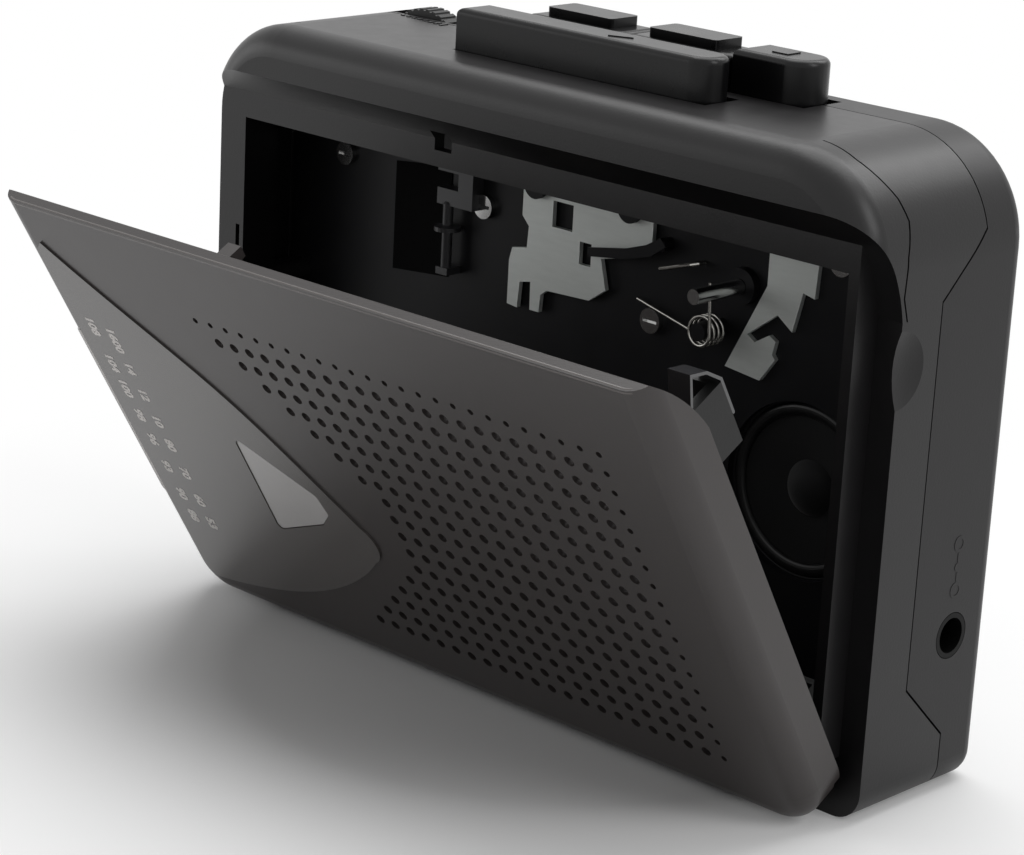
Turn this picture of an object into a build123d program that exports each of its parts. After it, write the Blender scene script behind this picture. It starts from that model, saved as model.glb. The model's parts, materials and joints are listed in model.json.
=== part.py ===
from build123d import *
import math
import os

# A portable cassette player with a radio, standing on its long narrow edge.
# The perforated lid is hinged along its bottom edge and rests open, as in use when a tape goes in.
# Axes: X to the right, Y to the back, Z up. The origin is the centre of the bottom face.
# Depths are counted backwards from the front face of the closed lid.

# Case
BODY_W = 119.0
BODY_H = 85.0
BODY_D = 32.2
WALL = 1.8
TOP_CORNER_R = 14.0
BOTTOM_CORNER_R = 4.0
BACK_EDGE_R = 2.6
TOP_FRONT_R = 4.2
SEAM_D = 24.0
SEAM_GAP = 0.2
WING_D = 15.6
WING_BOTTOM_Z = 16.2
WING_TOP_Z = BODY_H - 18.7
WING_SLOPE = 8.0

# Front opening and the lip that the lid closes over
STEP_D = 7.7
LIP_D = 3.4
LIP_INSET = 3.7
LIP_T = 1.6
RECESS_T = 1.8
RIDGE_Z = BODY_H - 7.2
OPEN_TOP_Z = BODY_H - 14.4
SILL_Z = 4.4
LEDGE_Z0 = 8.0
LEDGE_H = 4.0
WRAP_Z = BODY_H - 20.0
WRAP_MID_D = 5.0
WRAP_MID_Z = BODY_H - 13.0

# Lid
LID_SIDE = 1.6
LID_GAP = 0.4
LID_TOP_GAP = 2.2
LID_T = 1.6
LID_BOTTOM_Z = 0.9
LID_CORNER_R = 6.0
LID_EDGE_R = 3.2
LID_TOP_FLANGE = 2.6
LID_BOTTOM_FLANGE = 5.6
LID_CORNER_FLANGE = 6.2
LID_OPEN_DEG = 31.0
HINGE_D = 3.6
HINGE_Z = 3.0
HINGE_PIN_R = 0.8
HINGE_BARREL_R = 2.1
HINGE_LUG_X = BODY_W / 2 - 9.5
HINGE_LUG_W = 3.0
HINGE_LUG_R = 1.7
HINGE_LUG_RISE = 1.4
BARREL_END = 1.0
LUG_POCKET_RISE = 1.2
HINGE_PIN_L = 8.0
LID_FLANGE_W = 1.2
LID_FOOT_Z = SILL_Z + 5.0
LID_FOOT_CUT_Z = HINGE_Z + 1.6

# Clearances shared by every fit of one kind
RUN_CLEAR = 0.05
SIDE_CLEAR = 0.3
FIT_CLEAR = 0.2
SLOT_CLEAR = 0.4
STEM_CLEAR = 0.15

# Latch of the lid and the finger scoop beside it
LATCH_X = -14.5
LATCH_Z = RIDGE_Z - 3.6
LATCH_W = 2.4
LATCH_H = 1.6
LATCH_GRIP = 1.0
SCOOP_R = 14.0
SCOOP_DEEP = 0.9
GROOVE_W = 0.28
GROOVE_DEEP = 0.3
GROOVE_START = 1.0
POINTER_SLOT_W = 0.8
POINTER_SLOT_DEEP = 1.6
LATCH_SLOT_H = 2.8
SCOOP_Z = BODY_H - 26.0

# Perforations of the lid
HOLE_R = 0.75
HOLE_SMALL_R = 0.45
HOLE_PITCH_X = 2.96
HOLE_PITCH_Z = 3.08
HOLE_ROWS = 18
HOLE_TOP_Z = 63.0
HOLE_LEFT_X = -24.6
HOLE_RIGHT_X = 46.6
HOLE_STEP_ROWS = 8
HOLE_BACK_ROWS = 13

# Leaf-shaped overlay and windows
LEAF_T = 0.25
LEAF_TIP = 1.6
LEAF_TOP_Z = 69.0
LEAF_FOOT_Z = 5.0
WINDOW_CLEAR = 0.1
STRIP_INSET = 2.5
STRIP_W = 1.7
STRIP_Z0 = 21.2
STRIP_Z1 = 52.8
STRIP_SINK = 0.2
WINDOW_R = 0.8
# Front-view corners of the tape window, and the points that the leaf's two long edges pass through
WINDOW_EDGE = ((-29.4, 40.8), (-16.4, 34.2), (-15.6, 31.0), (-18.0, 28.4), (-29.4, 23.4))
LEAF_UPPER = ((-37.5, 57.2), (-25.8, 48.2), (-15.4, 37.4), (-9.6, 30.8))
LEAF_NOSE = (-7.7, 27.6)
LEAF_LOWER = ((-9.6, 24.2), (-18.7, 16.6), (-31.3, 10.2))

# Cassette and its carriers
CASSETTE_W = 100.4
CASSETTE_H = 63.8
CASSETTE_T = 12.0
CASSETTE_CLEAR = 0.4
CASSETTE_Z = 6.2
HUB_SPACING = 42.5
HUB_RISE = 29.0
GUIDE_T = 1.5
GUIDE_LIP = 2.0
SHELF_T = 0.8
SHELF_INSET = 3.0
SHELF_LIP = 2.5
CLIP_T = 0.4
CLIP_W = 3.4
GUIDE_LOW_Z = 7.0
GUIDE_LEFT_TOP_Z = 30.0
GUIDE_RIGHT_TOP_Z = 12.0
EAR_Z0 = 54.5
EAR_Z1 = 63.7
EAR_OUT = 1.4

# Deck
CHASSIS_D = 16.0
CHASSIS_T = 1.0
SLIDE_T = 0.7
SLIDE_GAP = 0.3
SLIDE_TOP_Z = BODY_H - 11.4
SPINDLE_R = 2.6
SPINDLE_FRONT_D = 6.2
REEL_GEAR_R = 5.0
REEL_GEAR_T = 2.0
REEL_TEETH = 20
GEAR_GAP = 0.3
GEAR_MESH = 0.4
SPINDLE_STEM_R = 1.9
SPINDLE_TIP_R = 1.2
SPINDLE_TIP_L = 0.8
SPINDLE_COLLAR_R = 3.0
SPINDLE_COLLAR_L = 1.5
SPINDLE_HOLE_R = 3.3
FIN_R = 3.5
FIN_W = 0.9
FIN_D0 = SPINDLE_FRONT_D + 1.2
FIN_D1 = CHASSIS_D - 3.4
CAPSTAN_X = 28.5
CAPSTAN_R = 1.0
CAPSTAN_DROP = 8.2
CAPSTAN_FRONT_D = 5.8
CAPSTAN_END = 0.5
FLYWHEEL_R = 11.8
FLYWHEEL_T = 3.0
FLYWHEEL_D = BODY_D - 7.4
BEARING_R = 2.4
BEARING_FRONT = 1.2
BEARING_BACK = 3.0
HEAD_W = 11.0
HEAD_D0 = 6.4
HEAD_D1 = 12.4
HEAD_NOSE_R = 5.4
HEAD_FOOT_W = 9.0
HEAD_GAP = 0.4
HEAD_H = 4.2
HEAD_NOSE_RISE = 0.6
ROLLER_R = 4.0
ROLLER_L = 6.0
ROLLER_D = 7.0
ROLLER_AXLE_R = 0.8
PINCH_PIVOT_X = 15.5
PINCH_DEG = 33.0
PINCH_T = 1.0
PINCH_D = 13.5
PINCH_HUB_R = 2.7
PINCH_TIP_R = 1.9
ROLLER_END = 0.6
POST_R = 1.2
POST_HEAD_R = 2.0
POST_HEAD_L = 0.7
POST_RIVET = 0.4
PLAIN_POST = 1
SLOT_XS = (-7.4, 9.6)
SLOT_Z = 68.4
SPRING_X = 25.0
SPRING_Z = 55.6
SPRING_D = 11.4
SPRING_TURNS = 3.28
SPRING_PITCH = 0.9
SPRING_COIL_R = 1.9
SPRING_WIRE_R = 0.22
SPRING_LEG_UP = 7.0
SPRING_LEG_LEFT = 14.0
MOTOR_X = -33.0
MOTOR_Z = 54.0
MOTOR_R = 12.0
MOTOR_L = 8.0
MOTOR_SHOULDER = 1.0
MOTOR_CAP_L = 1.4
MOTOR_BOSS = 0.6
MOTOR_SHAFT_D = 3.0
PULLEY_R = 2.2
PULLEY_T = 2.2
PULLEY_BORE_R = 0.7
BELT_W = 1.0
IDLER_R = 6.0
IDLER_TEETH = 24
IDLER_HEAD_R = 2.1
IDLER_HEAD_L = 0.6
IDLER_POST_L = 2.6

# Keys
KEY_TRAVEL = 3.0
KEY_TOP_Z = BODY_H + 6.0
KEY_FOOT_Z = BODY_H - 1.4
KEY_CLEAR = 0.3
KEY_EDGE_R = 0.9
KEY_CORNER_R = 0.8
KEY_ROOT = 0.5
KEY_ROUND_GAP = 0.1
KEY_DROP = 0.35
PAD_H = 1.3
PAD_SIDE = 3.0
PAD_MARGIN = 0.8
PAD_CORNER_R = 0.6
PLAY_X0 = -20.2
PLAY_X1 = 24.1
PLAY_D0 = 10.6
PLAY_DEPTH = 6.2
ROW_D0 = 20.2
ROW_DEPTH = 7.2
ROW_X = (-16.4, 1.9, 20.2)
ROW_W = (17.7, 17.7, 12.0)
STEM_W = 5.0
STEM_T = 1.2
KEY_SPRING_R = 3.05
KEY_SPRING_WIRE = 0.3
BRACKET_Z = BODY_H - 9.8
BRACKET_T = 1.0
BRACKET_TONGUE = 7.5
BRACKET_SIDE = 2.0
BRACKET_FOLD = 3.0
STEM_FOOT = 3.6
PLAY_FOOT_CLEAR = 0.3

# Electronics and controls
SPEAKER_X = 39.6
SPEAKER_Z = 37.0
SPEAKER_R = 13.0
SPEAKER_FRAME_L = 3.4
SPEAKER_RIM_T = 0.8
SPEAKER_SHEET = 0.4
SPEAKER_HOLE_R = 11.8
CONE_R = 10.9
CONE_T = 0.5
CONE_THROAT_R = 3.0
CONE_START = 0.3
CONE_BACK_GAP = 1.2
CAP_R = 4.2
CAP_DOME_R = 4.4
CAP_DROP = 1.6
MAGNET_R = 7.5
MAGNET_L = 6.6
PCB_D = BODY_D - 3.6
PCB_T = 1.0
BOARD_CLEAR = 0.7
BOARD_INSET = 0.5
CHIPS = ((-30.0, 8.0, 12.0, 8.0), (-12.0, 20.0, 10.0, 7.0), (4.0, 17.0, 10.0, 5.0))
CAN_X = -6.0
CAN_RISE = 11.0
COIL_X = -34.0
COIL_RISE = 18.5
COIL_PITCH = 8.5
CHIP_T = 2.2
CAN_R = 2.5
CAN_L = 6.5
CAN_PITCH = 6.5
COIL_W = 6.0
COIL_L = 5.5
VOLUME_X = 18.5 - BODY_W / 2
VOLUME_Z = BODY_H - 6.8
SLOT_DROP = 0.8
VOLUME_R = 8.0
VOLUME_D = 25.0
WHEEL_T = 3.0
WHEEL_BORE_R = 1.5
WHEEL_RIB_R = 0.3
VOLUME_RIBS = 40
TUNING_RIBS = 52
POT_HALF = 5.0
POT_T = 4.7
TUNER_HALF = 6.6
TUNING_X = 9.4 - BODY_W / 2
TUNING_Z = 31.0
TUNING_R = 10.6
TUNING_D = 20.2
JACK_D = 24.0
JACK_Z = 21.5
JACK_BORE_R = 2.35
JACK_RING_R = 3.0
JACK_RING_CLEAR = 0.1
JACK_PIN_R = 0.6
JACK_HALF = 3.3
JACK_L = 8.8
JACK_DEEP = 7.4
JACK_PIN_SINK = 3.0
ANTENNA_X = BODY_W / 2 - 10.0
ANTENNA_D = 21.6
ANTENNA_R = 3.8
ANTENNA_Z0 = 51.0
ANTENNA_Z1 = BODY_H - 7.0
PHONE_D = 22.4
PHONE_Z = 60.4
PHONE_BORE_R = 1.8
PHONE_RING_R = 2.3
PHONE_HALF = 3.0
PHONE_L = 10.6
PHONE_DEEP = 9.4
SWITCH_D = 22.4
SWITCH_Z = 52.2
SWITCH_TRAVEL = 2.5
SWITCH_L = 3.0
SWITCH_T = 2.4
SWITCH_BODY_L = 5.0
SWITCH_BODY_HALF = 2.4
KNOB_RISE = 0.9
KNOB_RIBS = 3
KNOB_RIB_PITCH = 0.8
KNOB_RIB_W = 0.35
KNOB_RIB_DEEP = 0.4
KNOB_RIB_START = 0.5
POINTER_L = 2.4
POINTER_W = 1.0
POINTER_T = 0.9
POINTER_STEM_W = 0.6
POINTER_STEM_L = 1.4
POINTER_GAP = 0.1
COIL_TUBE = 0.5
ANTENNA_COIL_Z = (7.0, 19.0)

# Batteries
BATTERY_D = 17.2
BATTERY_WALL = 0.8
BATTERY_TOP_Z = 14.2
DOOR_X1 = BODY_W / 2 - 14.0
DOOR_Z0 = 3.4
DOOR_Z1 = 13.4
DOOR_CLEAR = 0.2
DOOR_TURN = 1.4
DOOR_RIBS = 5
DOOR_RIB_PITCH = 1.6
DOOR_RIB_W = 0.7
DOOR_RIB_DEEP = 0.5
DOOR_RIB_INSET = 8.0
DOOR_RIB_MARGIN = 2.5
TROUGH_INSET = 3.4
CONTACT_T = 0.4
CONTACT_HALF = 4.0
CONTACT_BULGE_R = 1.6
CONTACT_RISE = 1.4

# Fasteners
SCREW_R = 0.95
SCREW_HEAD_R = 1.9
SCREW_HEAD_L = 1.2
SCREW_L = 19.0
SCREW_SINK = 0.6
SCREW_CLEAR = 0.15
SCREW_SLOT_HALF_L = 1.2
SCREW_SLOT_HALF_W = 0.25
SCREW_SLOT_DEEP = 0.5
DECK_HEAD_R = 1.7
DECK_HEAD_L = 0.9
DECK_TIP_L = 1.6
BOSS_R = 2.3
BOSS_X = BODY_W / 2 - 3.8
BOSS_LEFT_Z = (46.0, BODY_H - 15.0)
BOSS_RIGHT_Z = 46.0
BOSS_TOP_X = 40.0
TAB_MARGIN = 2.0
BOSS_TOP_Z = BODY_H - 6.0

# Screws of the deck, as (x, z)
CHASSIS_SCREWS = ((-18.0, 63.1), (-46.0, 65.5), (13.5, 53.9), (44.0, 68.0), (-44.0, 22.5), (4.0, 20.0))

# Two square windows of the slide plate, as (x0, x1, z0, z1)
SLIDE_WINDOWS = ((-4.7, -1.0, 63.0, 66.6), (0.5, 2.6, 58.9, 62.0))
# Edge of the silver slide plate in front view, as (x, z), from its top left corner down and round
SLIDE_EDGE = ((-10.3, 63.5), (-9.0, 62.2), (-9.2, 59.2), (-11.9, 58.7), (-12.4, 56.9), (-12.4, 50.7),
              (-10.5, 50.5), (-10.2, 54.2), (-8.2, 54.6), (-8.1, 50.7), (-6.4, 50.7), (-6.2, 53.2),
              (-5.1, 54.0), (2.6, 54.3), (5.5, 56.3), (4.4, 60.4), (7.7, 61.2), (9.4, 62.8), (13.2, 63.4))
# Edge of the silver side plate, clockwise from its lower left corner
SIDE_EDGE = ((26.6, 50.8), (32.6, 62.7), (32.6, 68.6), (40.6, 68.6), (40.3, 62.6), (38.4, 63.0),
             (37.1, 57.6), (34.6, 59.3), (29.9, 55.8), (31.2, 55.0), (33.5, 56.4), (34.6, 55.8),
             (34.2, 54.0), (34.7, 53.4), (32.4, 50.2))
# Side view of the bent clip on the lid's right ear, as (depth, z)
CLIP_BEND = ((9.4, 64.1), (11.0, 67.8), (13.3, 66.4), (15.0, 64.0), (15.0, 58.8))
# Parting line between the brow and the band behind it, as (depth, z)
BROW_LINE = ((6.3, 85.6), (6.3, 83.6), (7.2, 81.9), (8.5, 79.5), (9.0, 77.0), (7.9, 73.0), (7.6, 68.0), (8.6, 65.0))

# Places that follow from the sizes above
CASSETTE_TOP_Z = CASSETTE_Z + CASSETTE_H
HUB_Z = CASSETTE_Z + HUB_RISE
CAPSTAN_Z = CASSETTE_TOP_Z - CAPSTAN_DROP
ROLLER_PLAY_Z = CAPSTAN_Z + CAPSTAN_R + ROLLER_R + 0.1
LID_HALF = BODY_W / 2 - LID_SIDE
STRIP_X = STRIP_INSET - LID_HALF
OPENING_HALF = BODY_W / 2 - LIP_INSET - LIP_T
INNER_HALF = BODY_W / 2 - WALL
LID_TOP_Z = RIDGE_Z - LID_TOP_GAP
LID_FLANGE_D = STEP_D - LID_GAP
CHASSIS_BACK_D = CHASSIS_D + CHASSIS_T
SLIDE_D = CHASSIS_D - SLIDE_GAP - SLIDE_T
POST_FRONTS = (PINCH_D - 0.8, SPRING_D - 0.2, SLIDE_D - SLIDE_GAP, SLIDE_D - SLIDE_GAP)
BACK_INNER_D = BODY_D - WALL
FAR = 200.0


def at(depth):
    """Y of a depth counted back from the front face."""
    return depth - BODY_D / 2


def block(x0, x1, d0, d1, z0, z1):
    """A box between two corners."""
    corner = (Align.MIN, Align.MIN, Align.MIN)
    return Pos(x0, at(d0), z0) * Box(x1 - x0, d1 - d0, z1 - z0, align=corner)


def disc(x, z, radius, d0, d1):
    """A round bar that runs front to back."""
    base = (Align.CENTER, Align.CENTER, Align.MIN)
    return Pos(x, at(d0), z) * Rot(-90, 0, 0) * Cylinder(radius, d1 - d0, align=base)


def bar_x(x0, x1, depth, z, radius):
    """A round bar that runs left to right."""
    base = (Align.CENTER, Align.CENTER, Align.MIN)
    return Pos(x0, at(depth), z) * Rot(0, 90, 0) * Cylinder(radius, x1 - x0, align=base)


def post_z(x, depth, radius, z0, z1):
    """A round bar that stands upright."""
    base = (Align.CENTER, Align.CENTER, Align.MIN)
    return Pos(x, at(depth), z0) * Cylinder(radius, z1 - z0, align=base)


def slab(face, d0, d1):
    """A front-view outline, carried back from one depth to another."""
    return Pos(0, at(d1), 0) * Rot(90, 0, 0) * extrude(face, d1 - d0)


def side_slab(points, x0, x1):
    """A side-view outline of (depth, z) points, carried from left to right."""
    ring = [(at(d), z) for d, z in points]
    face = make_face(Polyline(*ring, close=True))
    return Pos(x0, 0, 0) * (Plane.YZ * extrude(face, x1 - x0))


def rounded(x0, x1, z0, z1, top_r, bottom_r):
    """A front-view rectangle with one radius at the top corners and one at the bottom."""
    face = Pos((x0 + x1) / 2, (z0 + z1) / 2) * Rectangle(x1 - x0, z1 - z0)
    if top_r > 0:
        face = fillet(face.vertices().group_by(Axis.Y)[-1], top_r)
    if bottom_r > 0:
        face = fillet(face.vertices().group_by(Axis.Y)[0], bottom_r)
    return face


def body_face(inset):
    """The front view of the case, drawn in by an inset."""
    half = BODY_W / 2 - inset
    top_r = TOP_CORNER_R - inset
    bottom_r = max(BOTTOM_CORNER_R - inset, 0.8)
    return rounded(-half, half, inset, BODY_H - inset, top_r, bottom_r)


def case_outer():
    """The whole outside of the case, with its rounded back and top front edges."""
    solid = slab(body_face(0), 0, BODY_D)
    back = solid.edges().filter_by_position(Axis.Y, at(BODY_D) - 0.01, at(BODY_D) + 0.01)
    solid = fillet(back, BACK_EDGE_R)
    front = solid.edges().filter_by_position(Axis.Y, at(0) - 0.01, at(0) + 0.01)
    top = [e for e in front if e.center().Z > BODY_H / 2 + TOP_CORNER_R]
    return fillet(top, TOP_FRONT_R)


def case_cavity(d0):
    """The room inside the walls, from a depth to the inner back face."""
    solid = slab(body_face(WALL), d0, BACK_INNER_D)
    back = solid.edges().filter_by_position(Axis.Y, at(BACK_INNER_D) - 0.01, at(BACK_INNER_D) + 0.01)
    return fillet(back, BACK_EDGE_R - WALL)


def wing_points(grow):
    """Side view of the part of the back cover that reaches forward along the sides."""
    low = WING_BOTTOM_Z - grow
    high = WING_TOP_Z + grow
    return [(SEAM_D - grow, low - WING_SLOPE), (WING_D - grow, low), (WING_D - grow, high),
            (SEAM_D - grow, high + WING_SLOPE), (BODY_D + 1, high + WING_SLOPE),
            (BODY_D + 1, low - WING_SLOPE)]


def behind_seam(grow):
    """Everything that belongs to the back cover."""
    half = BODY_W / 2 + 1
    rear = block(-half, half, SEAM_D - grow, BODY_D + 1, -1, BODY_H + 1)
    return rear + side_slab(wing_points(grow), -half, half)


def below_ridge(grow, x0, x1):
    """The side view of the lid's room under the brow, with its rounded upper rear corner."""
    top = (at(-1), RIDGE_Z - grow)
    start = (at(0), RIDGE_Z - grow)
    middle = (at(WRAP_MID_D - grow), WRAP_MID_Z - grow)
    end = (at(STEP_D - grow), WRAP_Z - grow)
    arc = ThreePointArc(start, middle, end)
    edges = [Line(top, start), arc, Line(end, (at(STEP_D - grow), -1)),
             Line((at(STEP_D - grow), -1), (at(-1), -1)), Line((at(-1), -1), top)]
    face = make_face(Curve() + edges)
    return Pos(x0, 0, 0) * (Plane.YZ * extrude(face, x1 - x0))


def key_wells():
    """The holes in the top face that the keys travel in."""
    cuts = block(PLAY_X0 - KEY_CLEAR, PLAY_X1 + KEY_CLEAR, PLAY_D0 - KEY_CLEAR,
                 PLAY_D0 + PLAY_DEPTH + KEY_CLEAR, BODY_H - WALL - 2, BODY_H + 1)
    x1 = ROW_X[-1] + ROW_W[-1]
    cuts += block(ROW_X[0] - KEY_CLEAR, x1 + KEY_CLEAR, ROW_D0 - KEY_CLEAR,
                  ROW_D0 + ROW_DEPTH + KEY_CLEAR, BODY_H - WALL - 2, BODY_H + 1)
    return cuts


def half_chord(radius, offset):
    """Half the width of a wheel where a wall at this distance from its centre cuts it."""
    return math.sqrt(radius ** 2 - offset ** 2)


def wheel_slots():
    """The slots that the two thumb wheels show through."""
    gap = KEY_CLEAR
    reach = half_chord(VOLUME_R, BODY_H - WALL - SLOT_DROP - VOLUME_Z) + gap
    cuts = block(VOLUME_X - reach, VOLUME_X + reach, VOLUME_D - gap, VOLUME_D + WHEEL_T + gap,
                 BODY_H - WALL - 2, BODY_H + 1)
    reach = half_chord(TUNING_R, INNER_HALF + TUNING_X) + gap
    cuts += block(-BODY_W / 2 - 1, -INNER_HALF + SLOT_DROP, TUNING_D - gap, TUNING_D + WHEEL_T + gap,
                  TUNING_Z - reach, TUNING_Z + reach)
    return cuts


def boss_places():
    """Where the case screws go, as (x, z)."""
    left = [(-BOSS_X, z) for z in BOSS_LEFT_Z]
    return left + [(BOSS_X, BOSS_RIGHT_Z), (BOSS_TOP_X, BOSS_TOP_Z)]


def brow_groove():
    """The fine parting line at each end of the brow, cut only into the outer skin."""
    front = [(d - GROOVE_W / 2, z) for d, z in BROW_LINE]
    rear = [(d + GROOVE_W / 2, z) for d, z in reversed(BROW_LINE)]
    half = BODY_W / 2 + 1
    start = BODY_W / 2 - TOP_CORNER_R + GROOVE_START
    bands = side_slab(front + rear, start, half) + side_slab(front + rear, -half, -start)
    return bands - slab(body_face(GROOVE_DEEP), -1, BODY_D)


def front_shell():
    """The front half of the case: frame, lip round the opening, sill and brow."""
    shell = case_outer() - behind_seam(SEAM_GAP)
    shell -= case_cavity(STEP_D + RECESS_T)
    half = BODY_W / 2 + 1
    lip_half = BODY_W / 2 - LIP_INSET
    # Room of the lid in front of the lip, then round the outside of the lip
    shell -= below_ridge(0, -half, half) & block(-half, half, -1, LIP_D, -1, BODY_H)
    shell -= below_ridge(0, lip_half, half)
    shell -= block(-half, lip_half, -1, STEP_D, -1, SILL_Z + LIP_INSET)
    # The opening and the hollow of the brow
    shell -= block(-OPENING_HALF, OPENING_HALF, LIP_D - 1, STEP_D + RECESS_T + 1, SILL_Z, OPEN_TOP_Z)
    brow = rounded(-OPENING_HALF, OPENING_HALF, OPEN_TOP_Z - 1, BODY_H - WALL, TOP_CORNER_R - WALL, 0)
    shell -= slab(brow, LIP_D + RECESS_T, STEP_D + RECESS_T + 1)
    # Hinge lugs at the sill
    for side in (-1, 1):
        x0 = side * (HINGE_LUG_X + HINGE_LUG_W / 2) - HINGE_LUG_W / 2
        lug = bar_x(x0, x0 + HINGE_LUG_W, HINGE_D, HINGE_Z, HINGE_LUG_R)
        lug += block(x0, x0 + HINGE_LUG_W, HINGE_D, STEP_D + 1, HINGE_Z - HINGE_LUG_R, HINGE_Z + HINGE_LUG_RISE)
        shell += lug
        shell -= bar_x(x0 - 1, x0 + HINGE_LUG_W + 1, HINGE_D, HINGE_Z, HINGE_PIN_R)
    # Ledges that carry the chassis, and the screw bosses
    for side in (-1, 1):
        x0 = min(side * OPENING_HALF, side * INNER_HALF)
        shell += block(x0, x0 + INNER_HALF - OPENING_HALF, STEP_D + RECESS_T, CHASSIS_D, LEDGE_Z0, LEDGE_Z0 + LEDGE_H)
    for x, z in boss_places():
        root = STEP_D + 1 if z < OPEN_TOP_Z else LIP_D + RECESS_T / 2
        shell += disc(x, z, BOSS_R, root, WING_D - SEAM_GAP) & slab(body_face(WALL / 2), 0, BODY_D)
        shell += disc(x, z, BOSS_R, root, CHASSIS_D) & slab(body_face(WALL + SEAM_GAP), 0, BODY_D)
        shell -= disc(x, z, SCREW_R, STEP_D + RECESS_T, CHASSIS_D + 1)
    # Pointer groove, latch slot, key wells, wheel slots and the finger scoop on the right
    half = POINTER_SLOT_W / 2
    shell -= block(STRIP_X - half, STRIP_X + half, LIP_D - 1, LIP_D + POINTER_SLOT_DEEP, STRIP_Z0 - 1, STRIP_Z1 + 2)
    half = LATCH_W / 2 + SLOT_CLEAR
    shell -= block(LATCH_X - half, LATCH_X + half, LIP_D - 1, LIP_D + RECESS_T + 1,
                   LATCH_Z - LATCH_SLOT_H / 2, LATCH_Z + LATCH_SLOT_H / 2)
    shell -= key_wells()
    shell -= wheel_slots()
    scoop = Pos(BODY_W / 2 + SCOOP_R - SCOOP_DEEP, at(STEP_D), SCOOP_Z) * Sphere(SCOOP_R)
    return shell - scoop - brow_groove()


def battery_walls():
    """The trough that holds two cells end to end behind the bottom edge."""
    half = INNER_HALF - TROUGH_INSET
    trough = block(-half, half, BATTERY_D, BACK_INNER_D + 0.2, BATTERY_TOP_Z, BATTERY_TOP_Z + BATTERY_WALL)
    trough += block(-half, half, BATTERY_D, BATTERY_D + BATTERY_WALL, WALL - 0.2, BATTERY_TOP_Z + 0.2)
    trough += block(-half, -half + BATTERY_WALL, BATTERY_D, BACK_INNER_D + 0.2, WALL - 0.2, BATTERY_TOP_Z + 0.2)
    trough += block(half - BATTERY_WALL, half, BATTERY_D, BACK_INNER_D + 0.2, WALL - 0.2, BATTERY_TOP_Z + 0.2)
    # Only the back cover's own floor carries the trough
    return trough - block(-half - 1, half + 1, BATTERY_D - 1, SEAM_D + SEAM_GAP, 0, WALL + SEAM_GAP)


def door_space(grow):
    """Room of the battery door: a panel in the back face that turns the left rear corner."""
    half = BODY_W / 2 + 1
    space = block(-half, DOOR_X1 + grow, BACK_INNER_D - grow, BODY_D + 1, DOOR_Z0 - grow, DOOR_Z1 + grow)
    space += block(-half, -INNER_HALF + grow, SEAM_D + DOOR_TURN - grow, BODY_D + 1, DOOR_Z0 - grow, DOOR_Z1 + grow)
    return space


def back_cover():
    """The rear half of the case, with the battery trough and the bosses for the screws."""
    cover = case_outer() & behind_seam(0)
    cover -= case_cavity(WING_D - 1)
    cover += battery_walls()
    for x, z in boss_places():
        boss = disc(x, z, BOSS_R, CHASSIS_BACK_D, BACK_INNER_D + 0.2)
        cover += boss & slab(body_face(WALL / 2), 0, BODY_D)
        cover -= disc(x, z, SCREW_R + SCREW_CLEAR, CHASSIS_BACK_D - 1, BODY_D)
        cover -= disc(x, z, SCREW_HEAD_R + SCREW_CLEAR, BODY_D - SCREW_HEAD_L - SCREW_SINK, BODY_D + 1)
    cover -= door_space(DOOR_CLEAR)
    cover -= key_wells()
    cover -= wheel_slots()
    # Round holes of the two sockets and the slot of the band switch
    cover -= bar_x(INNER_HALF - 1, BODY_W / 2 + 1, JACK_D, JACK_Z, JACK_RING_R + JACK_RING_CLEAR)
    cover -= bar_x(-BODY_W / 2 - 1, -INNER_HALF + 1, PHONE_D, PHONE_Z, PHONE_RING_R + JACK_RING_CLEAR)
    reach = SWITCH_L / 2 + SWITCH_TRAVEL / 2 + KEY_CLEAR
    cover -= block(-BODY_W / 2 - 1, -INNER_HALF + 1, SWITCH_D - SWITCH_T / 2 - KEY_CLEAR,
                   SWITCH_D + SWITCH_T / 2 + KEY_CLEAR, SWITCH_Z - reach, SWITCH_Z + reach)
    return cover


def battery_door():
    """The sliding door behind the cells, with a ribbed thumb patch."""
    door = (case_outer() & door_space(0)) - case_cavity(SEAM_D)
    for n in range(DOOR_RIBS):
        x = DOOR_X1 - DOOR_RIB_INSET - DOOR_RIB_PITCH * n
        door -= block(x, x + DOOR_RIB_W, BODY_D - DOOR_RIB_DEEP, BODY_D + 1,
                      DOOR_Z0 + DOOR_RIB_MARGIN, DOOR_Z1 - DOOR_RIB_MARGIN)
    return door


def opened(solid):
    """Turn a piece of the lid from closed to its open stop."""
    pin = Axis((0, at(HINGE_D), HINGE_Z), (1, 0, 0))
    return solid.rotate(pin, LID_OPEN_DEG)


def hole_centres():
    """Centres and radii of the perforations: 45 degree steps, a straight run, then steps back."""
    spots = []
    for row in range(HOLE_ROWS):
        if row <= HOLE_STEP_ROWS:
            first = row
        elif row < HOLE_BACK_ROWS:
            first = HOLE_STEP_ROWS
        else:
            first = HOLE_STEP_ROWS - (row - HOLE_BACK_ROWS + 1)
        x = HOLE_LEFT_X + first * HOLE_PITCH_X
        while x < HOLE_RIGHT_X:
            small = row == 0 or x + HOLE_PITCH_X > HOLE_RIGHT_X
            spots.append((x, HOLE_TOP_Z - row * HOLE_PITCH_Z, HOLE_SMALL_R if small else HOLE_R))
            x += HOLE_PITCH_X
    return spots


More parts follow.
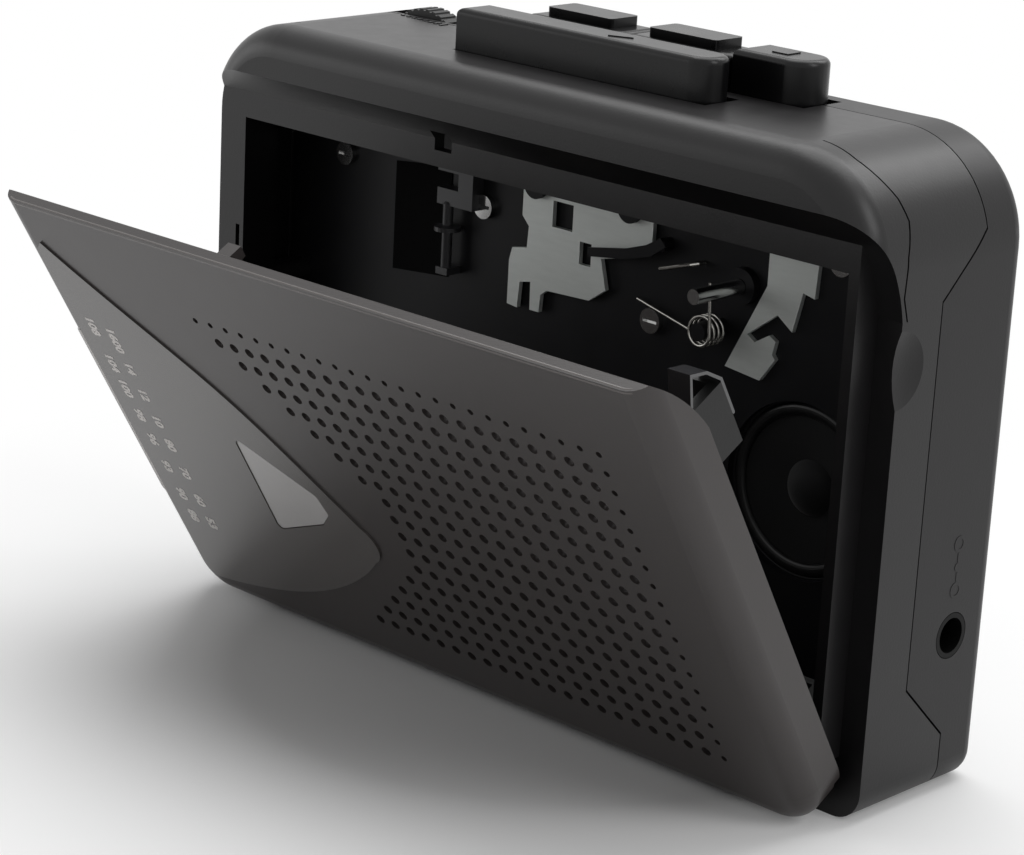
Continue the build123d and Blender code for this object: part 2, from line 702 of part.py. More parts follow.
def leaf_face(grow):
    """Front view of the leaf-shaped overlay on the left half of the lid."""
    left = -LID_HALF + LID_EDGE_R
    tip = (left + LEAF_TIP, LEAF_TOP_Z)
    edge = Spline(tip, *LEAF_UPPER)
    nose = ThreePointArc(LEAF_UPPER[-1], LEAF_NOSE, LEAF_LOWER[0])
    foot = (left + LEAF_TIP, LEAF_FOOT_Z)
    low = Spline(*LEAF_LOWER, foot)
    side = (left, LEAF_FOOT_Z + LEAF_TIP)
    shoulder = (left, LEAF_TOP_Z - LEAF_TIP)
    close = [Line(foot, side), Line(side, shoulder), Line(shoulder, tip)]
    face = make_face(Curve() + [edge, nose, low] + close)
    if grow > 0:
        face = offset(face, grow)
    return face


def window_face(grow):
    """Front view of the tape window: a trapezium with rounded corners."""
    face = make_face(Polyline(*WINDOW_EDGE, close=True))
    face = fillet(face.vertices(), WINDOW_R)
    if grow > 0:
        face = offset(face, grow)
    return face


def strip_face(grow):
    """Front view of the narrow dial window along the left edge."""
    return rounded(STRIP_X - STRIP_W / 2 - grow, STRIP_X + STRIP_W / 2 + grow,
                   STRIP_Z0 - grow, STRIP_Z1 + grow, STRIP_W / 2, STRIP_W / 2)


def lid_outer(inset):
    """The outside of the lid with its rounded front edges, drawn in by an inset."""
    half = LID_HALF - inset
    face = rounded(-half, half, LID_BOTTOM_Z + inset, LID_TOP_Z - inset, 0, LID_CORNER_R - inset)
    solid = slab(face, inset, LID_FLANGE_D + inset)
    front = solid.edges().filter_by_position(Axis.Y, at(inset) - 0.01, at(inset) + 0.01)
    soft = [e for e in front if e.center().Z < LID_TOP_Z - inset - 0.01]
    return fillet(soft, LID_EDGE_R - inset)


def lid_panel():
    """The tray of the lid: perforated face, side flanges and a hinge barrel along the bottom."""
    half = BODY_W / 2 + 1
    tray = lid_outer(0)
    inner_half = LID_HALF - LID_T
    tray -= lid_outer(LID_T) & block(-inner_half, inner_half, 0, STEP_D, 0, LID_TOP_Z - LID_T)
    # The flanges keep clear of the brow, the recess, the sill and the step
    tray = tray & below_ridge(LID_GAP, -half, half)
    mid = LID_HALF - LID_T - LID_FLANGE_W
    tray -= block(-mid, mid, LID_TOP_FLANGE, STEP_D, LID_FOOT_Z, BODY_H)
    tray -= block(-half, half, LID_CORNER_FLANGE, STEP_D, 0, LID_FOOT_CUT_Z)
    tray -= block(-mid, mid, LID_BOTTOM_FLANGE, STEP_D, 0, LID_FOOT_Z)
    # On the left the frame is wide and the lid's edge stops in front of it
    tray -= block(-half, LIP_INSET + LID_GAP - BODY_W / 2, LIP_D - LID_GAP, STEP_D + 1, 0, BODY_H)
    barrel_half = HINGE_LUG_X + HINGE_LUG_W + BARREL_END
    tray += bar_x(-barrel_half, barrel_half, HINGE_D, HINGE_Z, HINGE_BARREL_R)
    for side in (-1, 1):
        centre = side * (HINGE_LUG_X + HINGE_LUG_W / 2)
        reach = HINGE_LUG_W / 2 + SIDE_CLEAR
        tray -= block(centre - reach, centre + reach, LID_T, STEP_D + 1, 0, SILL_Z + LUG_POCKET_RISE)
        reach = HINGE_PIN_L / 2 + FIT_CLEAR
        tray -= bar_x(centre - reach, centre + reach, HINGE_D, HINGE_Z, HINGE_PIN_R + RUN_CLEAR)
    # Windows and perforations
    tray -= slab(window_face(WINDOW_CLEAR), -1, LID_T + 1)
    tray -= slab(strip_face(WINDOW_CLEAR), -1, LID_T + 1)
    holes = Sketch() + [Pos(x, z) * Circle(r) for x, z, r in hole_centres()]
    tray -= slab(holes, -1, LID_T + 1)
    # Latch hook
    hook = block(LATCH_X - LATCH_W / 2, LATCH_X + LATCH_W / 2, LID_T / 2, LIP_D + LATCH_GRIP,
                 LATCH_Z - LATCH_H / 2, LATCH_Z + LATCH_H / 2)
    tray += hook
    return opened(tray)


def leaf_overlay():
    """The glossy leaf-shaped bezel, with the window cut through it."""
    leaf = slab(leaf_face(0), -LEAF_T, 0)
    leaf -= slab(window_face(WINDOW_CLEAR), -1, 1)
    return opened(leaf)


def tape_window():
    """The clear window that shows the tape."""
    return opened(slab(window_face(0), -LEAF_T / 2, LID_T))


def dial_window():
    """The clear strip over the tuning pointer."""
    return opened(slab(strip_face(0), STRIP_SINK, LID_T))


def channel(side, z0, z1, out=0.0):
    """An edge channel for the cassette: a web from the lid's face back, and a lip behind the cassette."""
    face0 = CASSETTE_W / 2 + CASSETTE_CLEAR + out
    rear = LID_T + CASSETTE_CLEAR + CASSETTE_T
    x0 = min(side * face0, side * (face0 + GUIDE_T))
    web = block(x0, x0 + GUIDE_T, LID_T, rear + SHELF_T, z0, z1)
    lip = GUIDE_LIP + out
    x0 = min(side * (face0 - lip), side * (face0 + GUIDE_T))
    return opened(web + block(x0, x0 + lip + GUIDE_T, rear, rear + SHELF_T, z0, z1))


def cassette_shelf():
    """The ledge inside the lid that the cassette stands on."""
    half = CASSETTE_W / 2 - SHELF_INSET
    rear = LID_T + CASSETTE_CLEAR + CASSETTE_T
    shelf = block(-half, half, LID_T, rear, CASSETTE_Z - SHELF_T, CASSETTE_Z)
    shelf += block(-half, half, rear, rear + SHELF_T, CASSETTE_Z - SHELF_T, CASSETTE_Z + SHELF_LIP)
    return opened(shelf)


def cassette_clip():
    """A bent leaf spring over the ear, which presses the cassette forward."""
    middle = Polyline(*[(at(d), z) for d, z in CLIP_BEND])
    face = make_face(offset(middle, CLIP_T / 2, kind=Kind.INTERSECTION, side=Side.BOTH))
    x0 = CASSETTE_W / 2 + CASSETTE_CLEAR + GUIDE_T + EAR_OUT - CLIP_W
    return opened(Pos(x0, 0, 0) * (Plane.YZ * extrude(face, CLIP_W)))


def hinge_pins():
    """The two pins that the lid turns on."""
    pins = None
    for side in (-1, 1):
        centre = side * (HINGE_LUG_X + HINGE_LUG_W / 2)
        pin = bar_x(centre - HINGE_PIN_L / 2, centre + HINGE_PIN_L / 2, HINGE_D, HINGE_Z, HINGE_PIN_R)
        pins = pin if pins is None else pins + pin
    return pins


def key_cap(x0, width, d0, depth, end_r, stem_x, top_z, foot_z):
    """A piano key: a rounded bar with the given radius at its right end, and its stem."""
    x1 = x0 + width
    middle = d0 + depth / 2
    plan = Pos((x0 + x1) / 2, at(middle)) * Rectangle(width, depth)
    plan = fillet(plan.vertices().group_by(Axis.X)[-1], end_r)
    cap = Pos(0, 0, KEY_FOOT_Z) * extrude(plan, top_z - KEY_FOOT_Z)
    cap = fillet(cap.faces().sort_by(Axis.Z)[-1].edges(), KEY_EDGE_R)
    return cap + block(stem_x - STEM_W / 2, stem_x + STEM_W / 2, middle - STEM_T / 2,
                       middle + STEM_T / 2, foot_z, KEY_FOOT_Z + KEY_ROOT)


def play_key():
    """The long front key, half-round at its right end."""
    return key_cap(PLAY_X0, PLAY_X1 - PLAY_X0, PLAY_D0, PLAY_DEPTH, PLAY_DEPTH / 2 - KEY_ROUND_GAP,
                   0.0, KEY_TOP_Z - KEY_DROP, SLIDE_TOP_Z + PLAY_FOOT_CLEAR)


def row_key(n):
    """A key of the rear row: the last one is half-round, the others are square with a raised pad."""
    x0 = ROW_X[n]
    width = ROW_W[n]
    last = n == len(ROW_X) - 1
    end_r = ROW_DEPTH / 2 - KEY_ROUND_GAP if last else KEY_CORNER_R
    top_z = KEY_TOP_Z - (KEY_DROP if last else PAD_H)
    key = key_cap(x0, width, ROW_D0, ROW_DEPTH, end_r, x0 + width / 2, top_z, BRACKET_Z - STEM_FOOT)
    if last:
        return key
    pad = Pos(x0 + width / 2, at(ROW_D0 + ROW_DEPTH / 2))
    pad = pad * Rectangle(width - 2 * PAD_SIDE, ROW_DEPTH - 2 * PAD_MARGIN)
    pad = fillet(pad.vertices(), PAD_CORNER_R)
    return key + Pos(0, 0, KEY_TOP_Z - 2 * PAD_H) * extrude(pad, 2 * PAD_H)


def key_bracket():
    """A folded steel bracket on the chassis that guides the key stems."""
    x0 = PLAY_X0 - BRACKET_SIDE
    x1 = ROW_X[-1] + ROW_W[-1] - BRACKET_SIDE / 2
    d0 = PLAY_D0 - BRACKET_SIDE / 2
    d1 = ROW_D0 + ROW_DEPTH
    plate = block(x0, x1, CHASSIS_BACK_D, d1, BRACKET_Z, BRACKET_Z + BRACKET_T)
    plate += block(-BRACKET_TONGUE, BRACKET_TONGUE, d0, CHASSIS_BACK_D, BRACKET_Z, BRACKET_Z + BRACKET_T)
    plate += block(x0, x1, CHASSIS_BACK_D, CHASSIS_BACK_D + BRACKET_T, BRACKET_Z - BRACKET_FOLD,
                   BRACKET_Z + BRACKET_T / 2)
    half_w = STEM_W / 2 + STEM_CLEAR
    half_t = STEM_T / 2 + STEM_CLEAR
    for x, d in stem_places():
        plate -= block(x - half_w, x + half_w, d - half_t, d + half_t, BRACKET_Z - 1, BRACKET_Z + 2)
    return plate


def gear_face(radius, teeth, bore):
    """Front view of a small moulded gear."""
    face = Circle(radius)
    pitch = 2 * math.pi * radius / teeth
    notches = [Rot(0, 0, 360 * n / teeth) * Pos(radius, 0) * Circle(pitch / 4) for n in range(teeth)]
    face -= Sketch() + notches
    if bore > 0:
        face -= Circle(bore)
    return face


def chassis_plate():
    """The pressed steel deck that carries the mechanism."""
    half = INNER_HALF - FIT_CLEAR
    plate = block(-half, half, CHASSIS_D, CHASSIS_BACK_D, WALL + FIT_CLEAR, BRACKET_Z)
    tab = BOSS_R + TAB_MARGIN
    plate += block(BOSS_TOP_X - tab, BOSS_TOP_X + tab, CHASSIS_D, CHASSIS_BACK_D, BRACKET_Z - 1, BOSS_TOP_Z + BOSS_R)
    plate = plate & slab(body_face(WALL + FIT_CLEAR), 0, BODY_D)
    for side in (-1, 1):
        plate -= disc(side * HUB_SPACING / 2, HUB_Z, SPINDLE_HOLE_R, CHASSIS_D - 1, CHASSIS_BACK_D + 1)
    plate -= disc(CAPSTAN_X, CAPSTAN_Z, BEARING_R + RUN_CLEAR, CHASSIS_D - 1, CHASSIS_BACK_D + 1)
    plate -= disc(SPEAKER_X, SPEAKER_Z, SPEAKER_HOLE_R, CHASSIS_D - 1, CHASSIS_BACK_D + 1)
    for x, z in boss_places():
        plate -= disc(x, z, SCREW_R + RUN_CLEAR, CHASSIS_D - 1, CHASSIS_BACK_D + 1)
    for x, z in CHASSIS_SCREWS:
        plate -= disc(x, z, SCREW_R, CHASSIS_D - 1, CHASSIS_BACK_D + 1)
    for x, z, radius in post_places():
        plate -= disc(x, z, radius, CHASSIS_D - 1, CHASSIS_BACK_D + 1)
    return plate


def post_places():
    """Riveted posts of the deck, as (x, z, radius): pinch arm, spring and two slide guides."""
    middle = (ROLLER_PLAY_Z + roller_rest_z()) / 2
    return [(PINCH_PIVOT_X, middle, POST_R), (SPRING_X, SPRING_Z, POST_R),
            (SLOT_XS[0], SLOT_Z, POST_R), (SLOT_XS[1], SLOT_Z, POST_R)]


def roller_rest_z():
    """Height of the pinch roller when no key is down."""
    reach = CAPSTAN_X - PINCH_PIVOT_X
    return ROLLER_PLAY_Z + 2 * reach * math.tan(math.radians(PINCH_DEG / 2))


def deck_posts():
    """The turned posts that are riveted into the chassis plate."""
    posts = []
    for n, (x, z, radius) in enumerate(post_places()):
        front = POST_FRONTS[n]
        post = disc(x, z, radius, front, CHASSIS_BACK_D + POST_RIVET)
        if n != PLAIN_POST:
            post += disc(x, z, POST_HEAD_R, front - POST_HEAD_L, front)
        posts.append(post)
    return Compound(posts)


def deck_screws():
    """Short screws through the chassis plate, with slotted pan heads."""
    screws = []
    for x, z in CHASSIS_SCREWS:
        front = CHASSIS_D - DECK_HEAD_L
        screw = disc(x, z, DECK_HEAD_R, front, CHASSIS_D)
        screw += disc(x, z, SCREW_R, CHASSIS_D, CHASSIS_BACK_D + DECK_TIP_L)
        screw -= block(x - SCREW_SLOT_HALF_L, x + SCREW_SLOT_HALF_L, front - 1, front + SCREW_SLOT_DEEP,
                       z - SCREW_SLOT_HALF_W, z + SCREW_SLOT_HALF_W)
        screws.append(screw)
    return Compound(screws)


def case_screws():
    """The screws that hold the two halves of the case, driven from the back."""
    screws = []
    for x, z in boss_places():
        rear = BODY_D - SCREW_SINK
        screw = disc(x, z, SCREW_HEAD_R, rear - SCREW_HEAD_L, rear)
        screw += disc(x, z, SCREW_R, rear - SCREW_L, rear - SCREW_HEAD_L)
        for half_x, half_z in ((SCREW_SLOT_HALF_L, SCREW_SLOT_HALF_W), (SCREW_SLOT_HALF_W, SCREW_SLOT_HALF_L)):
            screw -= block(x - half_x, x + half_x, rear - SCREW_SLOT_DEEP, rear + 1, z - half_z, z + half_z)
        screws.append(screw)
    return Compound(screws)


def sheet_plate(corners, d0):
    """A pressed plate of the slide's thickness, from its front-view corners."""
    return slab(make_face(Polyline(*corners, close=True)), d0, d0 + SLIDE_T)


def head_plate():
    """The silver plate that slides down with the play key and carries the tape head."""
    right = SLIDE_EDGE[-1][0]
    top = [(right, SLIDE_TOP_Z), (SLIDE_EDGE[0][0], SLIDE_TOP_Z)]
    plate = sheet_plate(list(SLIDE_EDGE) + top, SLIDE_D)
    # Two square windows, then the slots over the guide posts
    for x0, x1, z0, z1 in SLIDE_WINDOWS:
        plate -= block(x0, x1, SLIDE_D - 1, SLIDE_D + 1, z0, z1)
    slot = POST_R + RUN_CLEAR
    end_z = SLOT_Z + KEY_TRAVEL + SIDE_CLEAR
    for x in SLOT_XS:
        hole = disc(x, SLOT_Z, slot, SLIDE_D - 1, SLIDE_D + SLIDE_T + 1)
        hole += disc(x, end_z, slot, SLIDE_D - 1, SLIDE_D + SLIDE_T + 1)
        plate -= hole + block(x - slot, x + slot, SLIDE_D - 1, SLIDE_D + SLIDE_T + 1, SLOT_Z, end_z)
    return plate


def side_plate():
    """The silver plate riveted beside the capstan."""
    return sheet_plate(SIDE_EDGE, CHASSIS_D - SLIDE_T)


def tape_head():
    """The play head in its metal shield, on a small base."""
    low = CASSETTE_TOP_Z + HEAD_GAP
    nose = low + HEAD_NOSE_RISE
    head = block(-HEAD_W / 2, HEAD_W / 2, HEAD_D0, HEAD_D1, nose, nose + HEAD_H - HEAD_NOSE_RISE)
    round_nose = Pos(0, at((HEAD_D0 + HEAD_D1) / 2), low + HEAD_NOSE_R) * Rot(90, 0, 0)
    round_nose = round_nose * Cylinder(HEAD_NOSE_R, HEAD_D1 - HEAD_D0)
    head += round_nose & block(-HEAD_W / 2, HEAD_W / 2, HEAD_D0, HEAD_D1, low - 1, nose + HEAD_GAP)
    head += block(-HEAD_FOOT_W / 2, HEAD_FOOT_W / 2, HEAD_D1, SLIDE_D, nose + FIT_CLEAR, SLIDE_TOP_Z - HEAD_GAP)
    return head


def pinch_arm():
    """The lever that carries the pinch roller."""
    x1, z1 = PINCH_PIVOT_X, post_places()[0][1]
    x2, z2 = CAPSTAN_X, roller_rest_z()
    arm = make_hull([(Pos(x1, z1) * Circle(PINCH_HUB_R)).edge(), (Pos(x2, z2) * Circle(PINCH_TIP_R)).edge()])
    solid = slab(arm, PINCH_D, PINCH_D + PINCH_T)
    solid -= disc(x1, z1, POST_R + RUN_CLEAR, PINCH_D - 1, PINCH_D + PINCH_T + 1)
    return solid + disc(x2, z2, ROLLER_AXLE_R, ROLLER_D - ROLLER_END, PINCH_D + PINCH_T)


def pinch_roller():
    """The rubber roller that presses the tape to the capstan."""
    z = roller_rest_z()
    roller = disc(CAPSTAN_X, z, ROLLER_R, ROLLER_D, ROLLER_D + ROLLER_L)
    return roller - disc(CAPSTAN_X, z, ROLLER_AXLE_R + RUN_CLEAR, ROLLER_D - 1, ROLLER_D + ROLLER_L + 1)


def torsion_spring():
    """The wire spring beside the slide: two legs and a coil round its post."""
    start_d = SPRING_D
    turns = SPRING_TURNS
    pitch = SPRING_PITCH
    rise = turns * pitch
    coil = Helix(pitch=pitch, height=rise, radius=SPRING_COIL_R)
    coil = Pos(SPRING_X, at(start_d), SPRING_Z) * Rot(-90, 0, 0) * coil
    profile_plane = Plane(origin=coil @ 0, z_dir=coil % 0)
    leg_in = Line((coil @ 0) - (coil % 0) * SPRING_LEG_UP, coil @ 0)
    leg_out = Line(coil @ 1, (coil @ 1) + (coil % 1) * SPRING_LEG_LEFT)
    body = sweep(profile_plane * Circle(SPRING_WIRE_R), path=coil)
    first = sweep(Plane(origin=leg_in @ 0, z_dir=leg_in % 0) * Circle(SPRING_WIRE_R), path=leg_in)
    last = sweep(Plane(origin=leg_out @ 0, z_dir=leg_out % 0) * Circle(SPRING_WIRE_R), path=leg_out)
    print("torsion spring, gap between turns in mm:", round(pitch - 2 * SPRING_WIRE_R, 2))
    return first + body + last


def capstan_bearing():
    """The bronze bush that the capstan runs in."""
    bush = disc(CAPSTAN_X, CAPSTAN_Z, BEARING_R, CHASSIS_D - BEARING_FRONT, CHASSIS_BACK_D + BEARING_BACK)
    return bush - disc(CAPSTAN_X, CAPSTAN_Z, CAPSTAN_R + RUN_CLEAR, CHASSIS_D - 2, CHASSIS_BACK_D + 4)


def capstan_shaft():
    return disc(CAPSTAN_X, CAPSTAN_Z, CAPSTAN_R, CAPSTAN_FRONT_D, FLYWHEEL_D + FLYWHEEL_T + CAPSTAN_END)


def belt_d0():
    return FLYWHEEL_D + (FLYWHEEL_T - BELT_W) / 2


def flywheel():
    """The heavy wheel on the capstan, grooved for the belt."""
    wheel = disc(CAPSTAN_X, CAPSTAN_Z, FLYWHEEL_R, FLYWHEEL_D, FLYWHEEL_D + FLYWHEEL_T)
    gap = RUN_CLEAR
    ring = disc(CAPSTAN_X, CAPSTAN_Z, FLYWHEEL_R + 1, belt_d0() - gap, belt_d0() + BELT_W + gap)
    ring -= disc(CAPSTAN_X, CAPSTAN_Z, FLYWHEEL_R - BELT_W, belt_d0() - 1, belt_d0() + BELT_W + 1)
    wheel -= ring
    return wheel - disc(CAPSTAN_X, CAPSTAN_Z, CAPSTAN_R, FLYWHEEL_D - 1, FLYWHEEL_D + FLYWHEEL_T + 1)


def motor_can():
    """The flat motor behind the chassis."""
    can = disc(MOTOR_X, MOTOR_Z, MOTOR_R, CHASSIS_BACK_D, CHASSIS_BACK_D + MOTOR_L - MOTOR_CAP_L)
    can += disc(MOTOR_X, MOTOR_Z, MOTOR_R - MOTOR_SHOULDER, CHASSIS_BACK_D, CHASSIS_BACK_D + MOTOR_L - MOTOR_BOSS)
    return can - disc(MOTOR_X, MOTOR_Z, PULLEY_BORE_R + RUN_CLEAR, CHASSIS_BACK_D + MOTOR_SHAFT_D, BODY_D)


def motor_pulley():
    """The grooved pulley and the shaft that it is pressed on."""
    d0 = belt_d0() - (PULLEY_T - BELT_W) / 2
    pulley = disc(MOTOR_X, MOTOR_Z, PULLEY_R, d0, d0 + PULLEY_T)
    ring = disc(MOTOR_X, MOTOR_Z, PULLEY_R + 1, belt_d0() - RUN_CLEAR, belt_d0() + BELT_W + RUN_CLEAR)
    ring -= disc(MOTOR_X, MOTOR_Z, PULLEY_R - BELT_W, d0 - 1, d0 + PULLEY_T + 1)
    pulley -= ring
    return pulley + disc(MOTOR_X, MOTOR_Z, PULLEY_BORE_R, CHASSIS_BACK_D + MOTOR_SHAFT_D + SLOT_CLEAR, d0 + PULLEY_T)


def drive_belt():
    """The square rubber belt round the pulley and the flywheel."""
    inner = RUN_CLEAR

    def loop(grow):
        big = (Pos(CAPSTAN_X, CAPSTAN_Z) * Circle(FLYWHEEL_R - BELT_W + grow)).edge()
        small = (Pos(MOTOR_X, MOTOR_Z) * Circle(PULLEY_R - BELT_W + grow)).edge()
        return make_hull([big, small])

    belt = slab(loop(BELT_W - inner), belt_d0(), belt_d0() + BELT_W)
    return belt - slab(loop(inner), belt_d0() - 1, belt_d0() + BELT_W + 1)


def gear_d0():
    return CHASSIS_BACK_D + GEAR_GAP


def spindle(side):
    """A reel spindle: splined head, stem through the chassis and the gear behind it."""
    x = side * HUB_SPACING / 2
    shoulder = SPINDLE_FRONT_D + SPINDLE_TIP_L
    stem = disc(x, HUB_Z, SPINDLE_STEM_R, shoulder, gear_d0() + REEL_GEAR_T / 2)
    stem += disc(x, HUB_Z, SPINDLE_TIP_R, SPINDLE_FRONT_D, shoulder + 0.1)
    stem += disc(x, HUB_Z, SPINDLE_COLLAR_R, CHASSIS_D - SPINDLE_COLLAR_L, gear_d0())
    for n in range(3):
        fin = block(0, FIN_R, FIN_D0, FIN_D1, -FIN_W / 2, FIN_W / 2)
        stem += Pos(x, 0, HUB_Z) * Rot(0, 120 * n + 90, 0) * fin
    gear = Pos(x, HUB_Z) * gear_face(REEL_GEAR_R, REEL_TEETH, 0)
    return stem + slab(gear, gear_d0(), gear_d0() + REEL_GEAR_T)


def idler_gear():
    """The gear that passes the drive to the take-up spindle."""
    x, z = idler_place()
    gear = gear_face(IDLER_R, IDLER_TEETH, POST_R + RUN_CLEAR)
    return slab(Pos(x, z) * gear, gear_d0(), gear_d0() + REEL_GEAR_T)


def idler_place():
    return HUB_SPACING / 2, HUB_Z + REEL_GEAR_R + IDLER_R + GEAR_MESH


def idler_post():
    x, z = idler_place()
    head = CHASSIS_BACK_D + IDLER_POST_L
    post = disc(x, z, POST_R, CHASSIS_BACK_D, head + IDLER_HEAD_L / 2)
    return post + disc(x, z, IDLER_HEAD_R, head, head + IDLER_HEAD_L)


def cone_y(x, z, r0, r1, d0, d1):
    """A cone along the depth, with its radius at each end."""
    base = (Align.CENTER, Align.CENTER, Align.MIN)
    return Pos(x, at(d0), z) * Rot(-90, 0, 0) * Cone(r0, r1, d1 - d0, align=base)


def speaker_frame():
    """The pressed basket of the speaker, with its flat rim on the chassis."""
    d0 = CHASSIS_BACK_D
    rear = d0 + SPEAKER_FRAME_L
    frame = disc(SPEAKER_X, SPEAKER_Z, SPEAKER_R, d0, d0 + SPEAKER_RIM_T)
    frame += cone_y(SPEAKER_X, SPEAKER_Z, SPEAKER_HOLE_R + SPEAKER_SHEET, MAGNET_R + SPEAKER_SHEET, d0 + 0.7, rear)
    return frame - cone_y(SPEAKER_X, SPEAKER_Z, SPEAKER_HOLE_R, MAGNET_R - SPEAKER_RIM_T, d0 - 0.1,
                          rear - SPEAKER_RIM_T)


def speaker_cone():
    """The paper cone with its dust cap."""
    front = CHASSIS_BACK_D + CONE_START
    rear = CHASSIS_BACK_D + SPEAKER_FRAME_L - CONE_BACK_GAP
    outer = cone_y(SPEAKER_X, SPEAKER_Z, CONE_R, CONE_THROAT_R, front, rear)
    inner = cone_y(SPEAKER_X, SPEAKER_Z, CONE_R - CONE_T, CONE_THROAT_R - CONE_T, front - 0.1, rear - CONE_T)
    cap = Pos(SPEAKER_X, at(rear + CAP_DROP), SPEAKER_Z) * Sphere(CAP_DOME_R)
    cap = cap & disc(SPEAKER_X, SPEAKER_Z, CAP_R, front - CAP_DOME_R, rear)
    return (outer - inner) + cap


def speaker_magnet():
    d0 = CHASSIS_BACK_D + SPEAKER_FRAME_L
    return disc(SPEAKER_X, SPEAKER_Z, MAGNET_R, d0, d0 + MAGNET_L)


def main_board():
    """The circuit board along the back, cut round the bosses."""
    board = slab(body_face(WALL + BOARD_INSET), PCB_D, PCB_D + PCB_T)
    board -= block(-BODY_W, BODY_W, PCB_D - 1, PCB_D + 2, -1, BATTERY_TOP_Z + BATTERY_WALL + SIDE_CLEAR)
    for x, z in boss_places():
        board -= disc(x, z, BOSS_R + BOARD_CLEAR, PCB_D - 1, PCB_D + 2)
    return board


def board_parts():
    """Chips, electrolytic cans and tuning coils on the front of the board."""
    rear = PCB_D
    base = BATTERY_TOP_Z
    parts = [block(x, x + w, rear - CHIP_T, rear, base + z, base + z + h) for x, z, w, h in CHIPS]
    for n in range(4):
        parts.append(disc(CAN_X + CAN_PITCH * n, base + CAN_RISE, CAN_R, rear - CAN_L, rear))
    for n in range(3):
        x = COIL_X + COIL_PITCH * n
        z = base + COIL_RISE
        parts.append(block(x, x + COIL_W, rear - COIL_L, rear, z, z + COIL_W))
    return Compound(parts)


def volume_pot():
    """The volume control, with its flatted shaft to the back."""
    rear = VOLUME_D - SIDE_CLEAR
    pot = block(VOLUME_X - POT_HALF, VOLUME_X + POT_HALF, rear - POT_T, rear, VOLUME_Z - POT_HALF,
                BODY_H - WALL - FIT_CLEAR)
    return pot + disc(VOLUME_X, VOLUME_Z, WHEEL_BORE_R, rear - 0.1, VOLUME_D + WHEEL_T)


def thumb_wheel(x, z, radius, d0, ribs):
    """A thumb wheel with a ribbed rim."""
    wheel = disc(x, z, radius, d0, d0 + WHEEL_T)
    grooves = [Rot(0, 0, 360 * n / ribs) * Pos(radius, 0) * Circle(WHEEL_RIB_R) for n in range(ribs)]
    wheel -= slab(Pos(x, z) * (Sketch() + grooves), d0 - 1, d0 + WHEEL_T + 1)
    return wheel - disc(x, z, WHEEL_BORE_R + RUN_CLEAR, d0 - 1, d0 + WHEEL_T + 1)


def volume_wheel():
    return thumb_wheel(VOLUME_X, VOLUME_Z, VOLUME_R, VOLUME_D, VOLUME_RIBS)


def tuning_wheel():
    return thumb_wheel(TUNING_X, TUNING_Z, TUNING_R, TUNING_D, TUNING_RIBS)


def tuning_capacitor():
    """The variable capacitor on the board, with its shaft to the front."""
    half = TUNER_HALF
    rear = TUNING_D + WHEEL_T + SIDE_CLEAR
    body = block(TUNING_X - half, TUNING_X + half, rear, PCB_D, TUNING_Z - half, TUNING_Z + half)
    return body + disc(TUNING_X, TUNING_Z, WHEEL_BORE_R, TUNING_D, rear + 0.1)


def dial_pointer():
    """The pointer that the tuning wheel moves along the dial window."""
    z0 = pointer_rest_z()
    z1 = z0 + POINTER_L
    back = LIP_D - POINTER_GAP
    pointer = block(STRIP_X - POINTER_W / 2, STRIP_X + POINTER_W / 2, back - POINTER_T, back, z0, z1)
    half = POINTER_STEM_W / 2
    return pointer + block(STRIP_X - half, STRIP_X + half, back - POINTER_GAP, back + POINTER_STEM_L, z0, z1)


def pointer_rest_z():
    return (STRIP_Z0 + STRIP_Z1) / 2 - POINTER_L / 2


def headphone_jack():
    """The headphone socket in the left side."""
    half = PHONE_HALF
    face = -INNER_HALF
    body = block(face, face + PHONE_L, PHONE_D - half, PHONE_D + half, PHONE_Z - half, PHONE_Z + half)
    body += bar_x(-BODY_W / 2, face + 1, PHONE_D, PHONE_Z, PHONE_RING_R)
    return body - bar_x(-BODY_W / 2 - 1, face + PHONE_DEEP, PHONE_D, PHONE_Z, PHONE_BORE_R)


def power_jack():
    """The low-voltage socket in the right side, with its centre pin."""
    half = JACK_HALF
    floor = INNER_HALF - JACK_DEEP
    body = block(INNER_HALF - JACK_L, INNER_HALF, JACK_D - half, JACK_D + half, JACK_Z - half, JACK_Z + half)
    body += bar_x(INNER_HALF - 1, BODY_W / 2, JACK_D, JACK_Z, JACK_RING_R)
    body -= bar_x(floor, BODY_W / 2 + 1, JACK_D, JACK_Z, JACK_BORE_R)
    return body + bar_x(floor - FIT_CLEAR, BODY_W / 2 - JACK_PIN_SINK, JACK_D, JACK_Z, JACK_PIN_R)


def band_switch():
    """The body of the band switch inside the left side."""
    half_z = SWITCH_L / 2 + SWITCH_TRAVEL / 2 + 1.0
    return block(-INNER_HALF, -INNER_HALF + SWITCH_BODY_L, SWITCH_D - SWITCH_BODY_HALF,
                 SWITCH_D + SWITCH_BODY_HALF, SWITCH_Z - half_z, SWITCH_Z + half_z)


def band_knob():
    """The ribbed slider of the band switch."""
    z0 = SWITCH_Z - SWITCH_TRAVEL / 2 - SWITCH_L / 2
    face = -BODY_W / 2 - KNOB_RISE
    knob = block(face, -INNER_HALF, SWITCH_D - SWITCH_T / 2, SWITCH_D + SWITCH_T / 2, z0, z0 + SWITCH_L)
    for n in range(KNOB_RIBS):
        z = z0 + KNOB_RIB_START + KNOB_RIB_PITCH * n
        knob -= block(face - 1, face + KNOB_RIB_DEEP, SWITCH_D - SWITCH_T, SWITCH_D + SWITCH_T, z, z + KNOB_RIB_W)
    return knob


def ferrite_rod():
    return post_z(ANTENNA_X, ANTENNA_D, ANTENNA_R, ANTENNA_Z0, ANTENNA_Z1)


